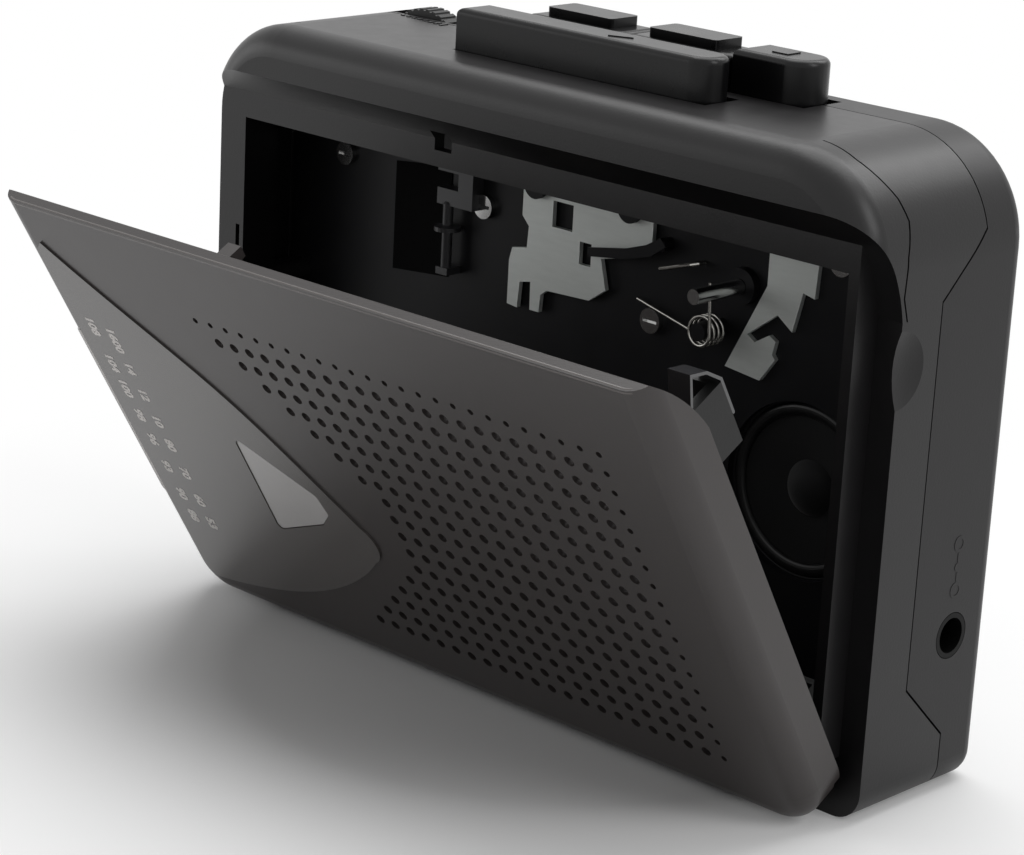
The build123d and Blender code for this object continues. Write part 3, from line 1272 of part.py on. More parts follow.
def antenna_coil():
    coil = post_z(ANTENNA_X, ANTENNA_D, ANTENNA_R + COIL_TUBE, ANTENNA_Z0 + ANTENNA_COIL_Z[0],
                  ANTENNA_Z0 + ANTENNA_COIL_Z[1])
    return coil - post_z(ANTENNA_X, ANTENNA_D, ANTENNA_R, ANTENNA_Z0, ANTENNA_Z1)


def battery_contacts():
    """A contact leaf with a raised button at each end of the battery trough."""
    half = INNER_HALF - TROUGH_INSET - BATTERY_WALL
    middle_d = (BATTERY_D + BATTERY_WALL + BACK_INNER_D) / 2
    middle_z = (WALL + BATTERY_TOP_Z) / 2
    reach = CONTACT_HALF
    leaves = []
    for side in (-1, 1):
        x0 = min(side * half, side * (half - CONTACT_T))
        leaf = block(x0, x0 + CONTACT_T, middle_d - reach, middle_d + reach, middle_z - reach, middle_z + reach)
        inner = side * (half - CONTACT_T - CONTACT_RISE)
        face = side * (half - CONTACT_T / 2)
        leaf += bar_x(min(inner, face), max(inner, face), middle_d, middle_z, CONTACT_BULGE_R)
        leaves.append(leaf)
    return Compound(leaves)


def stem_places():
    """Where the four key stems pass the bracket, as (x, depth): play, then the rear row."""
    places = [(0.0, PLAY_D0 + PLAY_DEPTH / 2)]
    return places + [(ROW_X[n] + ROW_W[n] / 2, ROW_D0 + ROW_DEPTH / 2) for n in range(3)]


def key_spring(n):
    """The sleeve of a return spring round a key stem, between the bracket and the cap."""
    x, d = stem_places()[n]
    low = BRACKET_Z + BRACKET_T
    outer = post_z(x, d, KEY_SPRING_R, low, KEY_FOOT_Z)
    return outer - post_z(x, d, KEY_SPRING_R - KEY_SPRING_WIRE, low - 1, KEY_FOOT_Z + 1)


NODES = {
    "front_shell": front_shell,
    "back_cover": back_cover,
    "battery_door": battery_door,
    "lid_panel": lid_panel,
    "leaf_overlay": leaf_overlay,
    "tape_window": tape_window,
    "dial_window": dial_window,
    "cassette_guide_left": lambda: channel(-1, GUIDE_LOW_Z, GUIDE_LEFT_TOP_Z),
    "cassette_guide_right": lambda: channel(1, GUIDE_LOW_Z, GUIDE_RIGHT_TOP_Z),
    "cassette_ear": lambda: channel(1, EAR_Z0, EAR_Z1, EAR_OUT),
    "cassette_shelf": cassette_shelf,
    "cassette_clip": cassette_clip,
    "hinge_pins": hinge_pins,
    "play_key": play_key,
    "rewind_key": lambda: row_key(0),
    "forward_key": lambda: row_key(1),
    "stop_key": lambda: row_key(2),
    "key_bracket": key_bracket,
    "play_spring": lambda: key_spring(0),
    "rewind_spring": lambda: key_spring(1),
    "forward_spring": lambda: key_spring(2),
    "stop_spring": lambda: key_spring(3),
    "chassis_plate": chassis_plate,
    "deck_posts": deck_posts,
    "deck_screws": deck_screws,
    "case_screws": case_screws,
    "head_plate": head_plate,
    "side_plate": side_plate,
    "tape_head": tape_head,
    "pinch_arm": pinch_arm,
    "pinch_roller": pinch_roller,
    "torsion_spring": torsion_spring,
    "capstan_bearing": capstan_bearing,
    "capstan_shaft": capstan_shaft,
    "flywheel": flywheel,
    "motor_can": motor_can,
    "motor_pulley": motor_pulley,
    "drive_belt": drive_belt,
    "supply_spindle": lambda: spindle(-1),
    "takeup_spindle": lambda: spindle(1),
    "idler_gear": idler_gear,
    "idler_post": idler_post,
    "speaker_frame": speaker_frame,
    "speaker_cone": speaker_cone,
    "speaker_magnet": speaker_magnet,
    "main_board": main_board,
    "board_parts": board_parts,
    "volume_pot": volume_pot,
    "volume_wheel": volume_wheel,
    "tuning_capacitor": tuning_capacitor,
    "tuning_wheel": tuning_wheel,
    "dial_pointer": dial_pointer,
    "headphone_jack": headphone_jack,
    "power_jack": power_jack,
    "band_switch": band_switch,
    "band_knob": band_knob,
    "ferrite_rod": ferrite_rod,
    "antenna_coil": antenna_coil,
    "battery_contacts": battery_contacts,
}


def main():
    os.makedirs("parts", exist_ok=True)
    for name, make in NODES.items():
        solid = make()
        solid.label = name
        export_step(solid, "parts/" + name + ".step")


main()
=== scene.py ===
import bpy
import bmesh
import json
import math
import numpy as np
from mathutils import Matrix


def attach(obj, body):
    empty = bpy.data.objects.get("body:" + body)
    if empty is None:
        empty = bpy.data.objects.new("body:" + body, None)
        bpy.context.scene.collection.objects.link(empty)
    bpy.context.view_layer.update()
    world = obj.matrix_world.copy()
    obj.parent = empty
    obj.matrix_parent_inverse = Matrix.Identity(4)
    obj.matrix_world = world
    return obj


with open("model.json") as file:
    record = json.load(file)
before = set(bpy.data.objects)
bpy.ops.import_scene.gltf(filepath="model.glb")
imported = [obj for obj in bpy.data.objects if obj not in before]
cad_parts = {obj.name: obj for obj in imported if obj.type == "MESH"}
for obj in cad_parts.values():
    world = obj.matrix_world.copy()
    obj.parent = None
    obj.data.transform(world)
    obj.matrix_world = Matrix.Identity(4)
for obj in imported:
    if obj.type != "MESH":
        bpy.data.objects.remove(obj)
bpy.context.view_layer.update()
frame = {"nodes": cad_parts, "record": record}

# Case and hinge in metres. The pieces below are in millimetres: x to the right, z up, and depth
# counted back from the closed lid's front face. Points of a piece nearer than MERGE are one.
MM = 0.001
BODY_D = 32.2 * MM
HINGE_D = 3.6 * MM
HINGE_Z = 3.0 * MM
LID_OPEN = math.radians(31.0)
MERGE = 1e-7

# Camera, fitted to the case edges in the photograph: metres, with the lens and sensor in millimetres
AZIMUTH = math.radians(43.32)
ELEVATION = math.radians(16.97)
ROLL = math.radians(3.02)
DISTANCE = 0.42455
TARGET = np.array([-12.47, 1.34, 32.33]) * MM
LENS = 106.9
SENSOR = 36.0
NEAR_CLIP = 0.01

# Lamps: name, place in metres, width, height and watts; all of them face the middle of the case
LAMPS = (
    ("overhead_softbox", (-0.12, 0.22, 0.80), 0.8, 0.7, 5.6),
    ("front_left_softbox", (-0.80, -0.45, 0.20), 0.5, 0.4, 1.0),
    ("right_softbox", (0.72, 0.08, 0.58), 0.35, 0.5, 2.0),
    ("back_softbox", (0.12, 0.62, 0.60), 0.4, 0.3, 1.1),
)
LAMP_AIM = (0.0, 0.0, 0.045)

# White tent round the case: how strongly it lights, and how bright it looks
TENT_LIGHT = 0.21
TENT_SEEN = 1.0
WHITE = (1.0, 1.0, 1.0, 1.0)

# Floor in metres: half its side, and the distances at which it starts and ends to fade to white.
# It is matt white paper: almost white, without a highlight.
FLOOR_HALF = 3.0
FADE_START = 0.045
FADE_END = 0.14
PAPER_COLOUR = "#f4f4f4"
PAPER_ROUGH = 0.9


def place_camera():
    """Camera at distance times the back vector from its target, rolled about that vector."""
    sa, ca = math.sin(AZIMUTH), math.cos(AZIMUTH)
    se, ce = math.sin(ELEVATION), math.cos(ELEVATION)
    back = np.array([sa * ce, -ca * ce, se])
    level = np.array([ca, sa, 0.0])
    upright = np.cross(back, level)
    right = level * math.cos(ROLL) + upright * math.sin(ROLL)
    up = upright * math.cos(ROLL) - level * math.sin(ROLL)
    data = bpy.data.cameras.new("photo_camera")
    data.lens = LENS
    data.sensor_width = SENSOR
    data.sensor_fit = "HORIZONTAL"
    data.clip_start = NEAR_CLIP
    cam = bpy.data.objects.new("photo_camera", data)
    bpy.context.scene.collection.objects.link(cam)
    place = np.eye(4)
    place[:3, 0], place[:3, 1], place[:3, 2] = right, up, back
    place[:3, 3] = TARGET + back * DISTANCE
    cam.matrix_world = Matrix(place.tolist())
    bpy.context.scene.camera = cam


def linear(hex_colour):
    """sRGB hex to linear RGB, with alpha 1: v / 12.92 below 0.04045, else ((v + 0.055) / 1.055) ^ 2.4."""
    values = np.array([int(hex_colour[n:n + 2], 16) for n in (1, 3, 5)]) / 255.0
    low = values / 12.92
    high = ((values + 0.055) / 1.055) ** 2.4
    return [float(v) for v in np.where(values <= 0.04045, low, high)] + [1.0]


def node(tree, kind, links=(), **settings):
    """Adds one node, sets its sockets or properties, and links (socket, other node's output)."""
    made = tree.nodes.new(kind)
    for name, value in settings.items():
        socket = name.replace("_", " ")
        if socket in made.inputs:
            made.inputs[socket].default_value = value
        else:
            setattr(made, name, value)
    for socket, source in links:
        tree.links.new(source, made.inputs[socket])
    return made


# The colour sockets of a Mix node, the roughness of a coat, the noise of the broad and the fine
# pattern, and how close the broad one is as a share of the fine one
MIX_FIRST, MIX_SECOND, MIX_RESULT = 6, 7, 2
COAT_ROUGH = 0.08
BROAD_NOISE = {"Detail": 3.0, "Roughness": 0.6}
FINE_NOISE = {"Detail": 2.0, "Roughness": 0.55}
BROAD = 0.12


def finish(name, colour, second, rough, rough_spread, grain, bump=0.0, metal=0.0, ior=1.5, level=0.5,
           coat=0.0, sheen=0.0, transmission=0.0, stretch=(1.0, 1.0, 1.0)):
    """A Principled material. A broad noise mixes two close colours and spreads the roughness to both
    sides; a fine one raises the surface. grain is the fine pattern's size and bump its height, in metres;
    the broad pattern is grain / BROAD wide. stretch above 1 packs both closer along an axis."""
    mat = bpy.data.materials.new(name)
    mat.use_nodes = True
    tree = mat.node_tree
    shader = tree.nodes["Principled BSDF"]
    values = {"Base Color": linear(colour), "Roughness": rough, "Metallic": metal, "Coat Weight": coat,
              "Coat Roughness": COAT_ROUGH, "Sheen Weight": sheen, "Transmission Weight": transmission}
    # A full metal keeps the default index of refraction
    if metal < 1.0:
        values.update({"IOR": ior, "Specular IOR Level": level})
    for socket, value in values.items():
        shader.inputs[socket].default_value = value
    place = node(tree, "ShaderNodeTexCoord")
    scaled = node(tree, "ShaderNodeMapping", [("Vector", place.outputs["Object"])], Scale=stretch)
    broad = node(tree, "ShaderNodeTexNoise", [("Vector", scaled.outputs["Vector"])],
                 Scale=BROAD / grain, **BROAD_NOISE)
    blend = node(tree, "ShaderNodeMix", [("Factor", broad.outputs["Fac"])], data_type="RGBA")
    blend.inputs[MIX_FIRST].default_value = linear(colour)
    blend.inputs[MIX_SECOND].default_value = linear(second)
    tree.links.new(blend.outputs[MIX_RESULT], shader.inputs["Base Color"])
    spread = node(tree, "ShaderNodeMapRange", [("Value", broad.outputs["Fac"])],
                  To_Min=rough - rough_spread, To_Max=rough + rough_spread)
    tree.links.new(spread.outputs["Result"], shader.inputs["Roughness"])
    if bump > 0:
        fine = node(tree, "ShaderNodeTexNoise", [("Vector", scaled.outputs["Vector"])],
                    Scale=1.0 / grain, **FINE_NOISE)
        raised = node(tree, "ShaderNodeBump", [("Height", fine.outputs["Fac"])], Strength=1.0, Distance=bump)
        tree.links.new(raised.outputs["Normal"], shader.inputs["Normal"])
    return mat


def make_finishes():
    """The finishes by name, each named for the real material, and for the painted light or shade where it
    carries some. The first part has one for each slot of the record, the second has those that single
    pieces wear. The moulded, sprayed and ground textures are finer than 0.1 mm in reality; they are drawn
    coarser, as coarse as it takes for them to show."""
    return {
        # ABS moulded with a fine spark-eroded texture: near black, with soft wide highlights
        "case_abs": finish("black_abs_textured", "#0e0d0e", "#121112", 0.36, 0.04, 0.35 * MM,
                           bump=0.012 * MM, ior=1.48, level=0.36),
        # The same ABS from the second mould: a shade lighter and duller on the rear half
        "rear_abs": finish("black_abs_rear_mould", "#141314", "#181718", 0.40, 0.04, 0.35 * MM,
                           bump=0.012 * MM, ior=1.48, level=0.30),
        # ABS sprayed with a satin lacquer: a warm dark grey with an even sheen
        "lid_abs": finish("warm_grey_satin_lacquer", "#2f2b2a", "#342f2e", 0.34, 0.03, 0.4 * MM,
                          bump=0.006 * MM, ior=1.5),
        # Acrylic over a warm grey print, polished: a sharp reflection
        "leaf_gloss": finish("polished_acrylic_bezel", "#433f3d", "#474341", 0.12, 0.02, 2.0 * MM,
                             ior=1.49, coat=0.3),
        # Clear acrylic painted light grey: a painted reflection of white light, on a pane that shows little
        # behind it
        "clear_window": finish("acrylic_window_painted_reflection", "#b4b2b1", "#acaaa9", 0.22, 0.03, 2.0 * MM,
                               ior=1.49, transmission=0.08),
        # ABS from a polished mould: deep black keys with clear highlights
        "key_gloss": finish("polished_black_abs", "#080809", "#0c0c0d", 0.28, 0.04, 0.6 * MM,
                            bump=0.003 * MM, ior=1.5, level=0.25),
        # Polystyrene moulded without a polish: a dull black that keeps the inside dark
        "inner_plastic": finish("moulded_black_polystyrene", "#0c0c0c", "#101010", 0.42, 0.05, 0.5 * MM,
                                bump=0.01 * MM, ior=1.5, level=0.35),
        # Rolled steel with a dull zinc plating: pale grey, with a grain that runs level
        "plated_steel": finish("zinc_plated_steel", "#d6dad7", "#c9cdca", 0.50, 0.08, 0.5 * MM,
                               bump=0.004 * MM, metal=0.45, stretch=(1, 1, 6)),
        # Steel sheet blackened in a bath: a satin near-black that keeps the deck dark
        "black_steel": finish("blackened_steel_sheet", "#141416", "#19191b", 0.42, 0.06, 0.8 * MM,
                              bump=0.006 * MM, ior=1.5, level=0.16),
        # Steel ground and polished: small bright pins, rims and screw heads
        "bright_steel": finish("polished_steel", "#c9c9c8", "#bdbdbc", 0.16, 0.05, 0.6 * MM, metal=1.0),
        # Spring wire with a nickel plating: bright, and a little warmer than the steel
        "spring_steel": finish("nickel_plated_spring_steel", "#b4b2ad", "#a8a6a1", 0.24, 0.06, 0.5 * MM,
                               metal=1.0),
        # Brass turned on a lathe: yellow, with fine bands across the axis that runs front to back
        "brass": finish("turned_brass", "#b3935a", "#a88850", 0.28, 0.06, 0.4 * MM, metal=1.0,
                        stretch=(1, 8, 1)),
        # Rubber ground to size: a dull dark grey
        "rubber": finish("ground_rubber", "#161616", "#1d1d1d", 0.68, 0.05, 0.3 * MM,
                         bump=0.012 * MM, ior=1.52),
        # Nylon moulded without a dye: creamy white and waxy
        "white_nylon": finish("natural_nylon", "#d6d3ca", "#cbc8be", 0.42, 0.05, 0.8 * MM,
                              bump=0.005 * MM, ior=1.53),
        # Paper pulp pressed to a cone: a soft black with a faint bloom at the edges
        "paper": finish("pressed_paper_cone", "#0b0b0c", "#101011", 0.72, 0.06, 0.5 * MM,
                        bump=0.02 * MM, ior=1.4, level=0.25, sheen=0.15),
        # Ferrite powder, pressed and sintered: a dense cold grey
        "ferrite": finish("sintered_ferrite", "#26272a", "#2c2d30", 0.50, 0.06, 0.4 * MM,
                          bump=0.008 * MM, ior=2.0),
        # Paper laminated with phenolic resin: a half-matt brown
        "board": finish("phenolic_circuit_board", "#7a5a30", "#6c4f29", 0.50, 0.05, 1.2 * MM,
                        bump=0.006 * MM, ior=1.55),
        # Acrylic moulded in red: a bright line in the dial
        "pointer_red": finish("red_moulded_acrylic", "#a3201c", "#961b18", 0.30, 0.04, 0.8 * MM, ior=1.49),
        # Copper wire, enamelled and wound: brown metal with fine streaks
        "copper": finish("enamelled_copper_winding", "#9c5a34", "#7e4527", 0.34, 0.06, 0.25 * MM,
                         bump=0.02 * MM, metal=1.0, stretch=(0.3, 0.3, 6)),

        # The lid's lacquer along the upper edge, smoother and painted lighter: a painted highlight for the
        # light the edge catches
        "lid_edge": finish("lid_lacquer_painted_highlight", "#5a5553", "#625d5b", 0.26, 0.03, 0.6 * MM, ior=1.5),
        # Acetal moulded for the catch and the rod: dark grey, satin
        "deck_grey": finish("dark_grey_acetal", "#2e2e30", "#353537", 0.40, 0.04, 0.6 * MM,
                            bump=0.005 * MM, ior=1.48),
        # A matt near-black sheet: painted shade for a recess in the deck, its darkest part
        "painted_shade_black": finish("painted_recess_shade_black", "#050505", "#080808", 0.85, 0.05, 0.4 * MM,
                             bump=0.02 * MM, ior=1.4, level=0.1),
        # Butyl rubber, pressed to a roll: black with a rim of light
        "gloss_rubber": finish("butyl_rubber_roll", "#0d0d0e", "#121213", 0.38, 0.04, 0.8 * MM,
                               bump=0.004 * MM, ior=1.5, level=0.3),
        # Spring steel blued in a furnace: black with a sharp highlight
        "blued_steel": finish("blued_spring_steel", "#1c1c1e", "#232326", 0.22, 0.04, 0.6 * MM, ior=1.9),
        # Black thermoplastic for the socket, darkened further by painted shade: so black that it reads as a
        # hole
        "socket_black": finish("socket_moulding_painted_shade", "#040404", "#060606", 0.5, 0.04, 0.5 * MM,
                               ior=1.45, level=0.15),
    }


def ink(name, colour):
    """Screen-printed ink: one flat, slightly rough colour."""
    return finish(name, colour, colour, 0.5, 0.05, 0.3 * MM, ior=1.45)


FINISHES = make_finishes()

# CAD nodes with another finish than their slot's: the clip, the ear and the socket show darker, the socket
# with painted shade
OWN_FINISH = {"cassette_clip": "blued_steel", "cassette_ear": "inner_plastic", "power_jack": "socket_black"}


def dress_nodes():
    """Gives every CAD node the finish of its slot in the record, or its own."""
    for part in frame["record"]["subparts"]:
        name = part["node"]
        mesh = frame["nodes"][name].data
        mesh.materials.clear()
        mesh.materials.append(FINISHES[OWN_FINISH.get(name, part["material_slot"])])


def opened(places):
    """Places on the closed lid in metres, turned to the open stop about the hinge pin: measured from the
    pin, y becomes y cos a - z sin a, and z becomes y sin a + z cos a."""
    pin_y = HINGE_D - BODY_D / 2
    y = places[:, 1] - pin_y
    z = places[:, 2] - HINGE_Z
    c, s = math.cos(LID_OPEN), math.sin(LID_OPEN)
    return np.column_stack([places[:, 0], y * c - z * s + pin_y, y * s + z * c + HINGE_Z])


def piece(name, points, faces, body, slot, material=None, solid=True):
    """Adds a piece from points (x, depth, z) in millimetres. The lid's pieces are given closed and turned
    to the open stop. A solid gets its faces turned outwards; a flat print keeps the order given."""
    x, depth, z = np.asarray(points, float).T * MM
    places = np.column_stack([x, depth - BODY_D / 2, z])
    if body == "lid":
        places = opened(places)
    mesh = bpy.data.meshes.new(name)
    mesh.from_pydata(places.tolist(), [], faces)
    if solid:
        made = bmesh.new()
        made.from_mesh(mesh)
        bmesh.ops.remove_doubles(made, verts=made.verts, dist=MERGE)
        bmesh.ops.recalc_face_normals(made, faces=made.faces)
        made.to_mesh(mesh)
        made.free()
    mesh.update()
    obj = bpy.data.objects.new(name, mesh)
    bpy.context.scene.collection.objects.link(obj)
    mesh.materials.append(material or FINISHES[slot])
    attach(obj, body)


def joined(parts):
    """Several sets of points and faces as one."""
    points, faces, start = [], [], 0
    for p, f in parts:
        points.append(p)
        faces += [[v + start for v in face] for face in f]
        start += len(p)
    return np.vstack(points), faces


def rectangle(left, right, low, high):
    """The corners of a rectangle with sides along the axes, anticlockwise."""
    return [(left, low), (right, low), (right, high), (left, high)]


def round_steps(count):
    """Angles in equal steps round a full turn: 2 pi n / count."""
    return np.arange(count) * 2 * math.pi / count


def circle(x, y, radius, count):
    """Points round a circle: x + r cos t, y + r sin t."""
    t = round_steps(count)
    return np.column_stack([x + radius * np.cos(t), y + radius * np.sin(t)])


def prism(outline, low, high):
    """A closed prism from an outline of points (a, b) between two values of the third direction c.
    Returns points (a, b, c) and faces."""
    a, b = np.asarray(outline, float).T
    n = len(a)
    points = np.vstack([np.column_stack([a, b, np.full(n, c)]) for c in (low, high)])
    i = np.arange(n)
    j = (i + 1) % n
    sides = np.column_stack([i, j, j + n, i + n]).tolist()
    return points, [list(range(n))[::-1], list(range(n, 2 * n))] + sides


def upright_prism(outline, front, back):
    """A prism from an outline of points (x, z) between two depths, as points (x, depth, z)."""
    points, faces = prism(outline, front, back)
    return points[:, [0, 2, 1]], faces


def tube_faces(rings, sides, closed):
    """Faces between rings of points: each point to the next one round, each ring to the next. A closed
    tube joins its last ring to its first; an open one gets a flat face on each end."""
    i, j = np.meshgrid(np.arange(rings if closed else rings - 1), np.arange(sides), indexing="ij")
    m, k = (i + 1) % rings, (j + 1) % sides
    quads = np.stack([i * sides + j, i * sides + k, m * sides + k, m * sides + j], axis=-1)
    faces = quads.reshape(-1, 4).tolist()
    if not closed:
        faces += [list(range(sides))[::-1], list(range((rings - 1) * sides, rings * sides))]
    return faces


def turned(profile, sides, closed=False):
    """A turned shape: each (radius, height) of the profile swept round the axis, as x = r cos t,
    y = r sin t, z = height. A closed profile is a loop and gives a ring."""
    r, h = np.asarray(profile, float).T
    t = round_steps(sides)
    grid = np.stack([np.outer(r, np.cos(t)), np.outer(r, np.sin(t)), np.outer(h, np.ones(sides))], axis=-1)
    return grid.reshape(-1, 3), tube_faces(len(r), sides, closed)


def wire(path, radius, sides):
    """A round wire along a path of points: at each point a ring of the radius, square to the path there,
    as point + radius (first cos t + second sin t) with two directions square to the path."""
    p = np.asarray(path, float)
    along = np.gradient(p, axis=0)
    along /= np.linalg.norm(along, axis=1)[:, None]
    first = np.cross(along, [0.0, 1.0, 0.0])
    first /= np.linalg.norm(first, axis=1)[:, None]
    second = np.cross(along, first)
    t = round_steps(sides)[None, :, None]
    rings = p[:, None, :] + radius * (np.cos(t) * first[:, None, :] + np.sin(t) * second[:, None, :])
    return rings.reshape(-1, 3), tube_faces(len(p), sides, False)


# Letters of the dial: steps of their curves, and how far they are thickened, as a share of their size
LETTER_STEPS = 3
LETTER_WEIGHT = 0.05


def words(text, size):
    """The flat mesh of a text: points (x, y) in millimetres about its centre, and faces."""
    data = bpy.data.curves.new("text", "FONT")
    data.body = text
    data.size = size
    data.align_x = "CENTER"
    data.align_y = "CENTER"
    data.resolution_u = LETTER_STEPS
    data.offset = LETTER_WEIGHT * size
    obj = bpy.data.objects.new("text", data)
    bpy.context.scene.collection.objects.link(obj)
    mesh = bpy.data.meshes.new_from_object(obj.evaluated_get(bpy.context.evaluated_depsgraph_get()))
    points = np.empty(len(mesh.vertices) * 3)
    mesh.vertices.foreach_get("co", points)
    faces = [list(face.vertices) for face in mesh.polygons]
    bpy.data.objects.remove(obj)
    bpy.data.meshes.remove(mesh)
    bpy.data.curves.remove(data)
    return points.reshape(-1, 3)[:, :2], faces


# Plain numbers of the two tuning scales, as (height, text), in the order that they run down the lid
OUTER_SCALE = ((54.7, "108"), (47.9, "104"), (43.2, "100"), (38.1, "98"), (33.4, "96"), (28.1, "93"),
               (22.7, "90"), (18.3, "88"))
INNER_SCALE = ((53.2, "1600"), (48.0, "14"), (43.1, "12"), (38.1, "10"), (33.5, "80"), (28.1, "70"),
               (22.7, "60"), (18.1, "53"))
OUTER_X = -50.9
INNER_X = -47.0
NUMBER_SIZE = 2.3
PRINT_D = -0.27


def dial_numbers():
    """The two columns of numbers, each turned a quarter so that it reads along the lid's height:
    x = column + letter y, z = height - letter x."""
    parts = []
    for column_x, scale in ((OUTER_X, OUTER_SCALE), (INNER_X, INNER_SCALE)):
        for height, text in scale:
            flat, faces = words(text, NUMBER_SIZE)
            depth = np.full(len(flat), PRINT_D)
            parts.append((np.column_stack([column_x + flat[:, 1], depth, height - flat[:, 0]]), faces))
    points, faces = joined(parts)
    piece("dial_numbers", points, faces, "lid", "leaf_gloss", ink("pale_screen_print", "#c9c5c2"),
          solid=False)


# The lid's rounded front edge: its radius, and the distance from the middle at which it starts
EDGE_R = 3.2
EDGE_X = 54.7

# The pale line of the dial window: its sides, its ends, its points across, and its height off the lid
LINE_X = (-56.2, -55.2)
LINE_Z = (21.0, 52.4)
LINE_STEPS = 6
LINE_PROUD = 0.03


def dial_strip():
    """The pale line of the dial window: a ribbon that follows the rounded left edge of the lid.
    Its depth is the edge radius less the root of the radius squared less the distance squared."""
    x = np.linspace(*LINE_X, LINE_STEPS)
    depth = EDGE_R - np.sqrt(EDGE_R ** 2 - (x + EDGE_X) ** 2) - LINE_PROUD
    points = np.column_stack([np.tile(x, 2), np.tile(depth, 2), np.repeat(LINE_Z, LINE_STEPS)])
    n = np.arange(LINE_STEPS - 1)
    faces = np.column_stack([n, n + 1, n + 1 + LINE_STEPS, n + LINE_STEPS]).tolist()
    piece("dial_strip", points, faces, "lid", "clear_window", ink("pale_dial_line", "#a5a19e"),
          solid=False)


# The bead on the lid's upper edge: its half length, the depth of the arcs' centres, its height, its
# radius, each end's arc with its points, and the sides of the round section
BEAD_X = 54.6
BEAD_D = 3.55
BEAD_Z = 75.25
BEAD_R = 0.38
BEAD_ARC = math.radians(26)
BEAD_STEPS = 9
BEAD_SIDES = 14


def lid_bead():
    """The softened upper edge of the lid: a thin bead along its front, which dies out at both side edges.
    Each end follows the edge radius: x = half length + radius sin a, depth = centre - radius cos a."""
    a = np.linspace(BEAD_ARC, 0, BEAD_STEPS)
    x = BEAD_X + EDGE_R * np.sin(a)
    depth = BEAD_D - EDGE_R * np.cos(a)
    z = np.full(BEAD_STEPS, BEAD_Z)
    path = np.vstack([np.column_stack([-x, depth, z]), np.column_stack([x, depth, z])[::-1]])
    points, faces = wire(path, BEAD_R, BEAD_SIDES)
    # The bead's lighter lacquer is a painted highlight along the lid's edge
    piece("lid_edge_bead", points, faces, "lid", "lid_abs", FINISHES["lid_edge"])


# Signs on the keys: foot and top heights, and outlines of points (x, depth)
SIGN_Z = (90.45, 90.8)
PLAY_SIGN = ((5.6, 12.4), (8.8, 13.8), (5.6, 15.2))
STOP_SIGN = rectangle(24.6, 27.2, 22.6, 25.2)


def key_marks():
    """Raised signs on the keys: a triangle for play and a square for stop."""
    for name, outline, body in (("play_mark", PLAY_SIGN, "play_key"), ("stop_mark", STOP_SIGN, "stop_key")):
        points, faces = prism(outline, *SIGN_Z)
        piece(name, points, faces, body, "key_gloss")


# Bars beside the volume wheel: how many, the first one's left side, their spacing and width, their
# common rear end, the first one's length, what each gains on the last, and foot and top heights
BAR_COUNT = 8
BAR_X = -44.0
BAR_SPACING = 1.25
BAR_WIDTH = 0.55
BAR_REAR = 23.6
BAR_LENGTH = 0.35
BAR_GAIN = 0.15
BAR_Z = (84.9, 85.12)


def volume_marks():
    """A ramp of thin raised bars beside the volume wheel, each a little longer than the last."""
    parts = []
    for n in range(BAR_COUNT):
        x = BAR_X + BAR_SPACING * n
        bar = rectangle(x, x + BAR_WIDTH, BAR_REAR - BAR_LENGTH - BAR_GAIN * n, BAR_REAR)
        parts.append(prism(bar, *BAR_Z))
    points, faces = joined(parts)
    piece("volume_marks", points, faces, "case", "case_abs")


# The sign over the power socket: its depth on the side wall, and the x of its foot in the wall and of
# its face. Then the heights and radii of its rings and its dot, the lower ends of its two bars with
# their half width and length, and the sides of whatever is round.
SOCKET_D = 24.0
SOCKET_FOOT, SOCKET_FACE = 59.3, 59.55
RING_Z = (27.6, 33.8)
RING_OUTER, RING_INNER = 1.1, 0.7
DOT_Z = 30.7
DOT_R = 0.6
STROKE_Z = (28.8, 31.4)
STROKE_HALF = 0.15
STROKE_LENGTH = 1.2
SIGN_SIDES = 24


def socket_marks():
    """A plain plug sign over the power socket: ring, bar, dot, bar and ring, hardly proud of the side."""
    band = [(RING_OUTER, SOCKET_FOOT), (RING_OUTER, SOCKET_FACE), (RING_INNER, SOCKET_FACE),
            (RING_INNER, SOCKET_FOOT)]
    ring, ring_faces = turned(band, SIGN_SIDES, closed=True)
    parts = [(ring + np.array([SOCKET_D, z, 0.0]), ring_faces) for z in RING_Z]
    parts.append(prism(circle(SOCKET_D, DOT_Z, DOT_R, SIGN_SIDES), SOCKET_FOOT, SOCKET_FACE))
    for z in STROKE_Z:
        bar = rectangle(SOCKET_D - STROKE_HALF, SOCKET_D + STROKE_HALF, z, z + STROKE_LENGTH)
        parts.append(prism(bar, SOCKET_FOOT, SOCKET_FACE))
    points, faces = joined(parts)
    piece("socket_marks", points[:, [2, 0, 1]], faces, "case", "rear_abs")


# The deck plate's front face, which the small parts of the deck stand on
DECK_D = 16.0

# The flanged rod: its axis, its profile of (radius, height), and its foot's outline and front depth
ROD_X, ROD_D = -23.7, 14.2
ROD_PROFILE = ((0.55, 53.0), (0.75, 53.3), (0.75, 58.6), (1.9, 58.8), (1.9, 59.4), (0.75, 59.6),
               (0.75, 62.6), (0.55, 62.9))
ROD_FOOT = rectangle(-24.8, -22.6, 52.6, 53.6)
ROD_FOOT_D = 13.3
ROD_SIDES = 24


def deck_rod():
    """An upright rod behind the tape, turned with one flange, on a square foot."""
    points, faces = turned(ROD_PROFILE, ROD_SIDES)
    rod = (points + np.array([ROD_X, ROD_D, 0.0]), faces)
    points, faces = joined([rod, upright_prism(ROD_FOOT, ROD_FOOT_D, DECK_D)])
    piece("deck_rod", points, faces, "case", "black_steel", FINISHES["deck_grey"])


# The bent lever: its outline of (x, z), its depths, and its post's place, radius and front depth
LEVER = ((2.8, 60.6), (9.6, 61.6), (13.8, 62.8), (16.4, 64.6), (15.4, 65.6), (13.0, 64.2), (9.4, 63.0),
         (2.8, 61.8))
LEVER_D = (14.0, 14.4)
POST_X, POST_Z = 15.3, 64.6
POST_R = 0.9
POST_D = 14.2
POST_SIDES = 20


